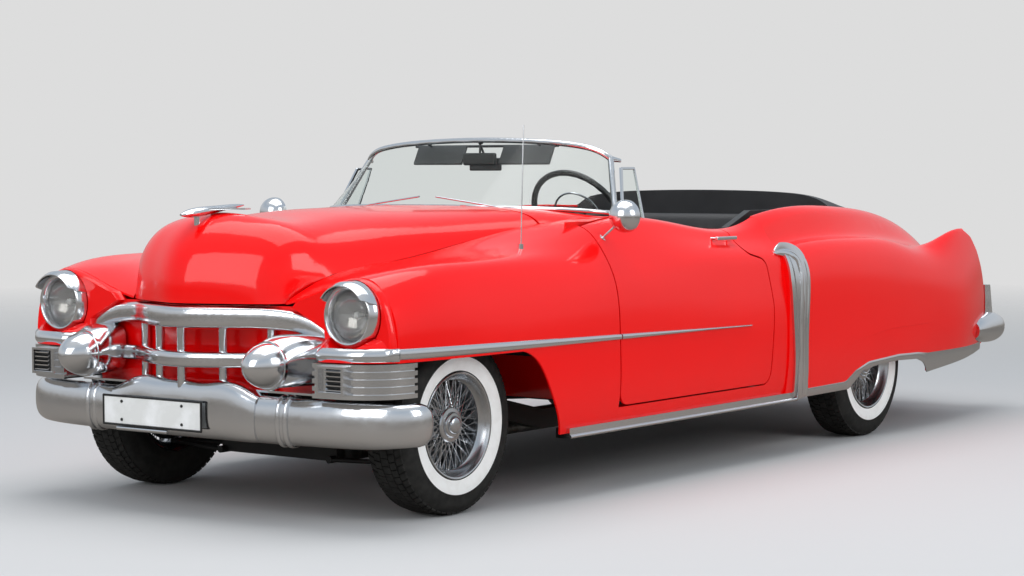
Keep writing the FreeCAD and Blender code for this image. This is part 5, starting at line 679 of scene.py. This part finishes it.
def pleated_pad(low, high, radius, pleat, border, depth, crown, tilt, pivot, skin_side):
    """A stuffed pad: rounded, crowned and sewn into upright channels on one face.
    skin_side is 2 for channels on the top and 1 for channels on the front."""
    low = Vector(low)
    high = Vector(high)
    made = bmesh.new()
    box_part(made, low, high)
    bmesh.ops.bevel(made, geom=made.edges[:], offset=radius, segments=5, profile=0.5, affect="EDGES",
                    material=-1)
    for axis, step in ((0, pleat / 6), (3 - skin_side, 0.03), (skin_side, 0.03)):
        way = Vector([1.0 if index == axis else 0.0 for index in range(3)])
        count = int((high[axis] - low[axis] - 2 * radius) / step)
        for index in range(count + 1):
            place = low + way * (radius + index * (high[axis] - low[axis] - 2 * radius) / max(count, 1))
            bmesh.ops.bisect_plane(made, geom=made.verts[:] + made.edges[:] + made.faces[:], dist=0.00005,
                                   plane_co=place, plane_no=way)
    bmesh.ops.remove_doubles(made, verts=made.verts, dist=0.0004)
    middle = (low + high) / 2
    half = (high - low) / 2
    face_sign = 1 if skin_side == 2 else -1
    for vert in made.verts:
        place = vert.co - middle
        across = place.x / half.x
        along = place[3 - skin_side] / half[3 - skin_side]
        facing = face_sign * place[skin_side] / half[skin_side]
        inside = max(0.0, min(1.0, (half.x - border - abs(place.x)) / 0.02))
        inside *= max(0.0, min(1.0, (half[3 - skin_side] - border - abs(place[3 - skin_side])) / 0.02))
        fullness = (1 - across * across) * (1 - along * along)
        rise = crown * (fullness - 1)
        channel = abs(math.sin(math.pi * (place.x + half.x) / pleat)) ** 0.6 - 1
        if facing > 0.2:
            vert.co[skin_side] += face_sign * (rise + depth * channel * inside) * min(1.0, facing * 1.2)
        pull = crown * 0.5 * (1 - abs(across) ** 6) * (1 if abs(along) > 0.9 else 0)
        vert.co[3 - skin_side] -= math.copysign(pull * 0.3, place[3 - skin_side])
    turn_about(made, made.verts, pivot, tilt)
    bmesh.ops.recalc_face_normals(made, faces=made.faces)
    return made


# Bench seats: node, half width, front, depth, low, high, top of back, lean in degrees, roundness
BENCHES = {
    "front_seat": (0.7119, -0.5695, 0.5288, 0.4313, 0.6016, 1.0587, 10, 0.036),
    "rear_seat": (0.6102, 0.4475, 0.4373, 0.4949, 0.6306, 1.1281, 6, 0.036),
}


def build_bench(node):
    half, front, depth, low, high, back_top, lean, roundness = BENCHES[node]
    base = pleated_pad((-half, front, low), (half, front + depth, high), roundness, 0.062,
                       0.055, 0.006, 0.012, 0.0, (0, 0, 0), 2)
    cushion = finish_piece(node + "_cushion", base, "leather", "car_body", (node,),
                           math.radians(60))
    foot = Vector((0, front + depth * 0.86, high - roundness * 0.9))
    back = pleated_pad((-half, foot.y, high + 0.004), (half, foot.y + depth * 0.30,
                       foot.z + back_top - high), roundness, 0.062, 0.06, 0.006, 0.010, -lean, foot, 1)
    rest = finish_piece(node + "_backrest", back, "leather", "car_body", (node,),
                        math.radians(60))


# Operators

def trim_inner_faces(node):
    """Gives the cabin side of a painted panel its trim covering."""
    mesh = bpy.data.objects[node + "_finish"].data
    mesh.materials.append(MATERIALS["leather"])
    trim = len(mesh.materials) - 1
    for face in mesh.polygons:
        if face.normal.x * face.center.x < -0.5 * abs(face.center.x) and abs(face.center.x) < 0.86:
            face.material_index = trim


class CAR_OT_panels(bpy.types.Operator):
    """Paints the body panels."""
    bl_idname = "car.panels"
    bl_label = "Body panels"

    def execute(self, context):
        for node in ("door_left", "door_right", "front_fender_left", "front_fender_right", "body_pillars",
                     "quarter_panel_left", "quarter_panel_right", "fender_skirts", "hood", "cowl",
                     "trunk_lid", "deck_panel", "tail_panel", "nose_panel"):
            dress_node(node, "red_paint")
        dress_node("top_cover", "boot_cloth")
        for node in ("door_left", "door_right", "body_pillars"):
            trim_inner_faces(node)
        return {"FINISHED"}


def side_copies(build):
    """Runs a builder for the left and the right side."""
    for side, word in ((1, "left"), (-1, "right")):
        build(side, word)


def build_headlamp(side, word):
    """A lens of pressed glass, a silvered bowl behind it and its bulb."""
    low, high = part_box("headlamp_lenses")
    radius = (high[2] - low[2]) / 2
    centre = Vector((side * (high[0] - radius), low[1], (low[2] + high[2]) / 2))
    lens = bmesh.new()
    outer = [(radius * share, 0.012 * share ** 2) for share in (0.0, 0.25, 0.5, 0.75, 0.97, 1.0)]
    inner = [(r, depth + 0.004) for r, depth in outer[::-1]]
    revolve(lens, outer + [(radius, 0.016)] + inner[1:], centre, (0, 1, 0), 64, close=False)
    tidy_normals(lens)
    finish_piece("headlamp_lens_" + word, lens, "lamp_glass", "car_body", ("headlamp_lenses",))
    bowl = bmesh.new()
    inside = [(radius * 0.985, 0.019), (radius * 0.93, 0.030), (radius * 0.78, 0.050),
              (radius * 0.5, 0.068),
              (radius * 0.2, 0.075), (0.0, 0.076)]
    outside = [(r + 0.001, depth + 0.002) for r, depth in inside[::-1][1:]]
    revolve(bowl, inside + [(0.0, 0.078)] + outside, centre, (0, 1, 0), 64, close=False)
    tidy_normals(bowl)
    finish_piece("headlamp_bowl_" + word, bowl, "lamp_silver")
    bulb = bmesh.new()
    bmesh.ops.create_uvsphere(bulb, u_segments=24, v_segments=16, radius=0.014,
                              matrix=Matrix.Translation(centre + Vector((0, 0.046, 0))))
    tube_between(bulb, centre + Vector((0, 0.052, 0)), centre + Vector((0, 0.075, 0)), 0.008, 16)
    finish_piece("headlamp_bulb_" + word, bulb, "bulb")


def build_number_plate():
    """A long blank plate in a thin rim, bolted beside the middle of the front bumper."""
    low = Vector((-0.385, -2.6795, 0.333))
    high = Vector((0.135, -2.6765, 0.443))
    blank = bmesh.new()
    box_part(blank, low, high)
    corners = [edge for edge in blank.edges if abs((edge.verts[0].co - edge.verts[1].co).y) > 0.001]
    bmesh.ops.bevel(blank, geom=corners, offset=0.010, segments=4, profile=0.5, affect="EDGES",
                    material=-1)
    finish_piece("number_plate", blank, "plate_paint")
    rim = bmesh.new()
    for start, end in (((low.x, low.z), (high.x, low.z)), ((high.x, low.z), (high.x, high.z)),
                       ((high.x, high.z), (low.x, high.z)), ((low.x, high.z), (low.x, low.z))):
        tube_between(rim, (start[0], low.y, start[1]), (end[0], low.y, end[1]), 0.0045, 10)
        bmesh.ops.create_uvsphere(rim, u_segments=10, v_segments=8, radius=0.0045,
                                  matrix=Matrix.Translation((start[0], low.y, start[1])))
    for x in (low.x + 0.10, high.x - 0.10):
        for z in (low.z + 0.020, high.z - 0.020):
            tube_between(rim, (x, low.y - 0.004, z), (x, low.y + 0.002, z), 0.006, 6)
    finish_piece("number_plate_rim", rim, "plastic")
    bar = bmesh.new()
    tube_between(bar, (-0.315, -2.6730, 0.319), (-0.045, -2.6730, 0.319), 0.009, 16)
    finish_piece("number_plate_bar", bar, "chrome")


def build_inside_mirror():
    """A round-ended mirror on a stalk from the middle of the windshield header."""
    centre = Vector((0.0, -0.785, 1.352))
    shell = bmesh.new()
    box_part(shell, centre - Vector((0.090, 0.009, 0.027)), centre + Vector((0.090, 0.009, 0.027)))
    bmesh.ops.bevel(shell, geom=shell.edges[:], offset=0.0085, segments=5, profile=0.5, affect="EDGES",
                    material=-1)
    tube_between(shell, centre, centre + Vector((0, 0.006, 0.078)), 0.005, 14)
    tube_between(shell, centre + Vector((0, 0.006, 0.068)), centre + Vector((0, 0.010, 0.082)), 0.011, 18,
                 0.014)
    finish_piece("inside_mirror_shell", shell, "plastic")
    glass = bmesh.new()
    box_part(glass, centre + Vector((-0.082, 0.0085, -0.020)), centre + Vector((0.082, 0.0105, 0.020)))
    finish_piece("inside_mirror_glass", glass, "mirror_silver")


# Rays towards the panels start this far from the car's middle plane and end short of it
RAY_START = 1.9
RAY_REACH = 1.3

# Upper and lower edge of the rear fender's chrome shield: (along, height)
SHIELD_TOP = [(0.372, 0.300), (0.760, 0.305), (0.850, 0.352), (0.976, 0.386), (1.290, 0.400),
              (1.500, 0.395), (1.620, 0.385), (2.243, 0.383), (2.440, 0.385)]
SHIELD_LOW = [(0.372, 0.262), (0.800, 0.266), (0.920, 0.346), (1.100, 0.366), (1.290, 0.369),
              (1.500, 0.362), (1.565, 0.343), (1.600, 0.320), (1.618, 0.286), (2.200, 0.325),
              (2.440, 0.345)]
SHIELD_STEP = 0.0199


def build_shield(side, word):
    """The chrome shield along the lower edge of a rear fender and its skirt."""
    panels = panel_trees("quarter_panel_" + word, "fender_skirts")
    way = Vector((-side, 0, 0))
    rays = []
    for index in range(105):
        y = SHIELD_TOP[0][0] + index * SHIELD_STEP
        top = between(SHIELD_TOP, y)
        low = between(SHIELD_LOW, y)
        rays.append([(Vector((side * RAY_START, y, top + (low - top) * row / 4)), way) for row in range(5)])
    hugging_strip("fender_shield_" + word, panels, rays, 0.0015, 0.003)


# Middle lines of the upright moulding's base and ribs: (along, height), half the breadth, thickness
RIBS = [
    ([(0.343, 0.262), (0.337, 0.346), (0.325, 0.583), (0.333, 0.780), (0.328, 0.862), (0.308, 0.903),
      (0.262, 0.927), (0.205, 0.932), (0.165, 0.930)], 0.045, 0.002),
    ([(0.310, 0.262), (0.302, 0.346), (0.290, 0.583), (0.293, 0.780), (0.292, 0.853), (0.278, 0.895),
      (0.237, 0.921), (0.190, 0.928), (0.150, 0.926)], 0.015, 0.010),
    ([(0.343, 0.262), (0.337, 0.346), (0.325, 0.583), (0.333, 0.780), (0.328, 0.862), (0.308, 0.905),
      (0.262, 0.932), (0.205, 0.938), (0.165, 0.934)], 0.009, 0.006),
    ([(0.374, 0.262), (0.367, 0.341), (0.359, 0.579), (0.371, 0.777), (0.364, 0.866), (0.338, 0.914),
      (0.290, 0.940), (0.230, 0.947), (0.180, 0.940)], 0.015, 0.010),
]
RIB_STEPS = 80


def smooth_path(points, count):
    """Points spread along a smooth curve through the given ones."""
    made = []
    last = len(points) - 1
    for index in range(count):
        place = index * last / (count - 1)
        step = min(int(place), last - 1)
        share = place - step
        p0, p1, p2, p3 = (Vector(points[max(0, min(last, step + k))]) for k in (-1, 0, 1, 2))
        made.append(0.5 * (2 * p1 + (p2 - p0) * share + (2 * p0 - 5 * p1 + 4 * p2 - p3) * share ** 2
                           + (3 * p1 - p0 - 3 * p2 + p3) * share ** 3))
    return made


def build_ribs(side, word):
    """The rounded ribs of the upright moulding, curling forwards at its head."""
    panels = panel_trees("body_trim", "quarter_panel_" + word, "body_pillars", "door_" + word)
    way = Vector((-side, 0, 0))
    for number, (points, half, proud) in enumerate(RIBS):
        path = smooth_path(points, RIB_STEPS)
        rays = []
        for index, place in enumerate(path):
            along = (path[min(index + 1, RIB_STEPS - 1)] - path[max(index - 1, 0)]).normalized()
            across = Vector((-along.y, along.x))
            taper = half * min(1.0, 0.25 + (RIB_STEPS - 1 - index) / 14)
            rays.append([(Vector((side * RAY_START, *(place + across * taper * (row / 4 - 1)))),
                          way) for row in range(9)])
        hugging_strip("moulding_rib_%s_%d" % (word, number), panels, rays, 0.001, proud, reach=9)


# The place across and along that the chin strip goes round, its upper edge and its height
CHIN_CENTRE = (0.80, -2.30)
CHIN_TOP = 0.668
CHIN_TALL = 0.047


def build_chin_strip(side, word):
    """The strip from the grille's upper bar round the fender's chin to the side strip."""
    panels = panel_trees("front_fender_" + word)
    rays = []
    for degrees in range(-44, 37, 2):
        turn = math.radians(degrees)
        out = Vector((side * math.sin(turn), -math.cos(turn), 0))
        start = Vector((side * CHIN_CENTRE[0], CHIN_CENTRE[1], CHIN_TOP)) + out * 0.9
        rays.append([(start - Vector((0, 0, CHIN_TALL * row / 6)), -out) for row in range(7)])
    hugging_strip("chin_strip_" + word, panels, rays, 0.002, 0.008)


# The side strip's ends along the car, the edges of the door's seam, and its height and half its
# breadth at both ends
STRIP_START, STRIP_END = -2.50, -0.128
SEAM_FRONT, SEAM_REAR = -1.1525, -1.1445
STRIP_HEIGHTS = (0.6465, 0.6210)
STRIP_HALVES = (0.0195, 0.0020)


def build_side_strip(side, word):
    """The tapering strip along the fender and, riding with it, the door."""
    for node, first, last, body in (("front_fender_" + word, STRIP_START, SEAM_FRONT, "car_body"),
                                    ("door_" + word, SEAM_REAR, STRIP_END, "door_" + word)):
        panels = panel_trees(node)
        rays = []
        for index in range(61):
            y = first + (last - first) * index / 60
            share = (y - STRIP_START) / (STRIP_END - STRIP_START)
            middle = STRIP_HEIGHTS[0] + (STRIP_HEIGHTS[1] - STRIP_HEIGHTS[0]) * share
            half = STRIP_HALVES[0] + (STRIP_HALVES[1] - STRIP_HALVES[0]) * share ** 1.5
            rays.append([(Vector((side * RAY_START, y, middle + half * (1 - row / 4))),
                          Vector((-side, 0, 0)))
                         for row in range(9)])
        hugging_strip("side_strip_" + node, panels, rays, 0.002, 0.009, body)


def build_louvres(side, word):
    """Slats over a parking lamp's frame, with a black sheet behind them as painted shade in its opening."""
    middle = side * 0.7630
    # A black sheet behind the slats: painted shade where the opening's hollow would be dark.
    dark = bmesh.new()
    box_part(dark, (middle - 0.0390, -2.6465, 0.5135), (middle + 0.0390, -2.6435, 0.5990))
    finish_piece("lamp_opening_" + word, dark, "recess")
    slats = bmesh.new()
    for index in range(5):
        centre = Vector((middle + side * 0.0005, -2.651, 0.5235 + index * 0.0166))
        verts = box_part(slats, centre - Vector((0.0375, 0.0055, 0.0026)),
                         centre + Vector((0.0375, 0.0055, 0.0026)))
        turn_about(slats, verts, centre, 28)
    finish_piece("lamp_slats_" + word, slats, "chrome")


def build_tail_frame(side, word):
    """The bright frame round a tail lamp, on the fin's rear edge."""
    lows = [(0.836, 2.4250, 0.812), (0.828, 2.3900, 0.852), (0.828, 2.3430, 0.905), (0.834, 2.3080, 0.950)]
    loop = lows + [(0.847, 2.2960, 0.962), (0.862, 2.2960, 0.962)]
    loop += [(x + 2 * (0.8545 - x), y, z) for x, y, z in lows[::-1]]
    loop += [(0.862, 2.4330, 0.803), (0.847, 2.4330, 0.803)]
    made = bmesh.new()
    for start, end in zip(loop, loop[1:] + loop[:1]):
        tube_between(made, (side * start[0], start[1] + 0.008, start[2]),
                     (side * end[0], end[1] + 0.008, end[2]), 0.006, 14)
        bmesh.ops.create_uvsphere(made, u_segments=14, v_segments=8, radius=0.006,
                                  matrix=Matrix.Translation((side * start[0], start[1] + 0.008, start[2])))
    finish_piece("tail_lamp_frame_" + word, made, "chrome")


class CAR_OT_brightwork(bpy.types.Operator):
    """Plates the bumpers, grille, mouldings and fittings."""
    bl_idname = "car.brightwork"
    bl_label = "Brightwork"

    def execute(self, context):
        for node in ("windshield_frame", "front_bumper", "rear_bumper", "grille", "lamp_bezels",
                     "body_trim", "door_fittings_left", "door_fittings_right", "hood_ornament",
                     "wipers_and_antenna"):
            dress_node(node, "chrome")
        side_copies(build_shield)
        side_copies(build_ribs)
        side_copies(build_chin_strip)
        side_copies(build_side_strip)
        side_copies(build_louvres)
        side_copies(build_tail_frame)
        build_number_plate()
        return {"FINISHED"}


class CAR_OT_wheels(bpy.types.Operator):
    """Builds four treaded whitewall tyres on wire wheels."""
    bl_idname = "car.wheels"
    bl_label = "Tyres and wheels"

    def execute(self, context):
        for corner in AXLES:
            build_tyre(corner)
            build_wheel(corner)
        return {"FINISHED"}


class CAR_OT_glass(bpy.types.Operator):
    """Glazes the windshield, vent windows and lamps."""
    bl_idname = "car.glass"
    bl_label = "Glass"

    def execute(self, context):
        for node in ("windshield_glass", "vent_glass_left", "vent_glass_right"):
            dress_node(node, "glass")
        side_copies(build_headlamp)
        dress_node("tail_lamps", "red_lens")
        return {"FINISHED"}


class CAR_OT_cabin(bpy.types.Operator):
    """Trims the cabin."""
    bl_idname = "car.cabin"
    bl_label = "Cabin"

    def execute(self, context):
        for node in BENCHES:
            build_bench(node)
        for node, material in (("floor_pan", "carpet"), ("rear_bulkhead", "carpet"),
                               ("rear_side_trim", "leather"), ("dashboard", "dash"),
                               ("steering_column", "plastic"), ("sun_visors", "vinyl")):
            dress_node(node, material)
        build_steering_wheel()
        build_inside_mirror()
        build_instruments()
        return {"FINISHED"}


class CAR_OT_underbody(bpy.types.Operator):
    """Finishes the chassis, axles, engine block, tank and exhaust."""
    bl_idname = "car.underbody"
    bl_label = "Underbody"

    def execute(self, context):
        for node, material in (("chassis_frame", "black"), ("front_suspension", "black"),
                               ("rear_axle", "black"), ("knuckle_left", "iron"), ("knuckle_right", "iron"),
                               ("engine", "iron"),
                               ("wheelhouses", "black"), ("fuel_tank", "steel"), ("exhaust", "steel")):
            dress_node(node, material)
        return {"FINISHED"}


CAMERA_PLACE = Vector((6.0455, -8.7151, 1.3029))
CAMERA_YAW = 0.6373
CAMERA_PITCH = -0.052
CAMERA_ROLL = -0.0021
CAMERA_LENS = 79.34


class CAR_OT_stage(bpy.types.Operator):
    """Sets the floor, the soft lights and the camera."""
    bl_idname = "car.stage"
    bl_label = "Stage"

    def execute(self, context):
        self.make_floor(context)
        self.make_world(context)
        self.make_lights(context)
        self.make_camera(context)
        return {"FINISHED"}

    def make_floor(self, context):
        made = bmesh.new()
        bmesh.ops.create_circle(made, cap_ends=True, segments=96, radius=40.0)
        mesh = bpy.data.meshes.new("studio_floor")
        made.to_mesh(mesh)
        made.free()
        floor = bpy.data.objects.new("studio_floor", mesh)
        context.scene.collection.objects.link(floor)
        material, tree, shader = start_material("painted_studio_floor")
        tone = (*context.scene.car_finish.floor_tone, 1.0)
        shader_values(shader, Roughness=0.9, Specular_IOR_Level=0.1)
        glossy = add_node(tree, "ShaderNodeLightPath").outputs["Is Glossy Ray"]
        tree.links.new(mix_colour(tree, glossy, tone, from_hex("#8A837B")), shader.inputs["Base Color"])
        place = add_node(tree, "ShaderNodeTexCoord").outputs["Object"]
        reach = add_node(tree, "ShaderNodeVectorMath", {"operation": "LENGTH"}, _0=place).outputs["Value"]
        fade = ramp(tree, reach, 4.5, 16.0, 0.0, 1.0)
        clear = add_node(tree, "ShaderNodeBsdfTransparent")
        blend = add_node(tree, "ShaderNodeMixShader", _0=fade, _1=shader.outputs["BSDF"],
                         _2=clear.outputs["BSDF"])
        tree.links.new(blend.outputs[0], tree.nodes["Material Output"].inputs["Surface"])
        mesh.materials.append(material)

    def make_world(self, context):
        world = bpy.data.worlds.new("studio_world")
        context.scene.world = world
        world.use_nodes = True
        tree = world.node_tree
        tree.nodes.clear()
        way = add_node(tree, "ShaderNodeTexCoord").outputs["Generated"]
        height = add_node(tree, "ShaderNodeSeparateXYZ", Vector=way).outputs["Z"]
        sky = add_node(tree, "ShaderNodeValToRGB", Fac=ramp(tree, height, -1.0, 1.0, 0.0, 1.0))
        stops = [(0.0, "#8A837C"), (0.42, "#8F8983"), (0.495, "#A9A49E"), (0.53, "#DADCDE"),
                 (0.62, "#E9EEF4"), (0.80, "#CFDCEA"), (1.0, "#F4F7FA")]
        ladder = sky.color_ramp.elements
        while len(ladder) < len(stops):
            ladder.new(0.5)
        for element, (share, tone) in zip(ladder, stops):
            element.position = share
            element.color = from_hex(tone)
        path = add_node(tree, "ShaderNodeLightPath").outputs
        seen = add_node(tree, "ShaderNodeMath", {"operation": "MAXIMUM"}, _0=path["Is Camera Ray"],
                        _1=path["Is Transmission Ray"]).outputs[0]
        shown = mix_colour(tree, seen, sky.outputs["Color"], from_hex("#DDDDDD"))
        level = add_node(tree, "ShaderNodeMapRange", Value=seen, To_Min=0.75, To_Max=1.0).outputs["Result"]
        light = add_node(tree, "ShaderNodeBackground", Color=shown, Strength=level)
        out = add_node(tree, "ShaderNodeOutputWorld")
        tree.links.new(light.outputs["Background"], out.inputs["Surface"])

    def make_lights(self, context):
        for name, place, target, size, power in (
                ("overhead_softbox", (0.0, -0.5, 6.5), (0, 0, 0), 6.0, 260),
                ("front_softbox", (1.0, -9.5, 4.4), (0, -2.0, 0.7), 5.5, 250),
                ("side_softbox", (8.0, -1.0, 4.2), (0, 0.5, 0.6), 3.6, 170)):
            lamp = bpy.data.lights.new(name, "AREA")
            lamp.shape = "SQUARE"
            lamp.size = size
            lamp.energy = power
            holder = bpy.data.objects.new(name, lamp)
            holder.location = place
            aim = Vector(target) - Vector(place)
            holder.rotation_euler = aim.to_track_quat("-Z", "Y").to_euler()
            context.scene.collection.objects.link(holder)

    def make_camera(self, context):
        lens = bpy.data.cameras.new("photo_camera")
        lens.lens = CAMERA_LENS
        lens.sensor_width = 36.0
        lens.clip_end = 200.0
        holder = bpy.data.objects.new("photo_camera", lens)
        ahead = Vector((-math.sin(CAMERA_YAW) * math.cos(CAMERA_PITCH),
                        math.cos(CAMERA_YAW) * math.cos(CAMERA_PITCH), math.sin(CAMERA_PITCH)))
        right = Vector((math.cos(CAMERA_YAW), math.sin(CAMERA_YAW), 0.0))
        up = right.cross(ahead)
        rolled_right = right * math.cos(CAMERA_ROLL) + up * math.sin(CAMERA_ROLL)
        rolled_up = up * math.cos(CAMERA_ROLL) - right * math.sin(CAMERA_ROLL)
        turn = Matrix((rolled_right, rolled_up, -ahead)).transposed()
        holder.matrix_world = Matrix.Translation(CAMERA_PLACE) @ turn.to_4x4()
        context.scene.collection.objects.link(holder)
        context.scene.camera = holder
        context.scene.view_settings.view_transform = "Standard"


class CAR_PT_sidebar(bpy.types.Panel):
    """Lists the finish's steps."""
    bl_idname = "CAR_PT_sidebar"
    bl_label = "Open Car"
    bl_space_type = "VIEW_3D"
    bl_region_type = "UI"
    bl_category = "Open Car"

    def draw(self, context):
        settings = context.scene.car_finish
        for name in ("tread_pitches", "spoke_radius", "floor_tone"):
            self.layout.prop(settings, name)
        for step in STEPS:
            self.layout.operator("car." + step)


STEPS = ("panels", "brightwork", "wheels", "glass", "cabin", "underbody", "stage")
CLASSES = (CarSettings, CAR_OT_panels, CAR_OT_brightwork, CAR_OT_wheels, CAR_OT_glass, CAR_OT_cabin,
           CAR_OT_underbody, CAR_OT_stage, CAR_PT_sidebar)


def register():
    for each in CLASSES:
        bpy.utils.register_class(each)
    bpy.types.Scene.car_finish = PointerProperty(type=CarSettings)


def unregister():
    del bpy.types.Scene.car_finish
    for each in reversed(CLASSES):
        bpy.utils.unregister_class(each)


def main():
    register()
    MATERIALS.update(build_materials())
    for step in STEPS:
        getattr(bpy.ops.car, step)()


if __name__ == "__main__":
    main()
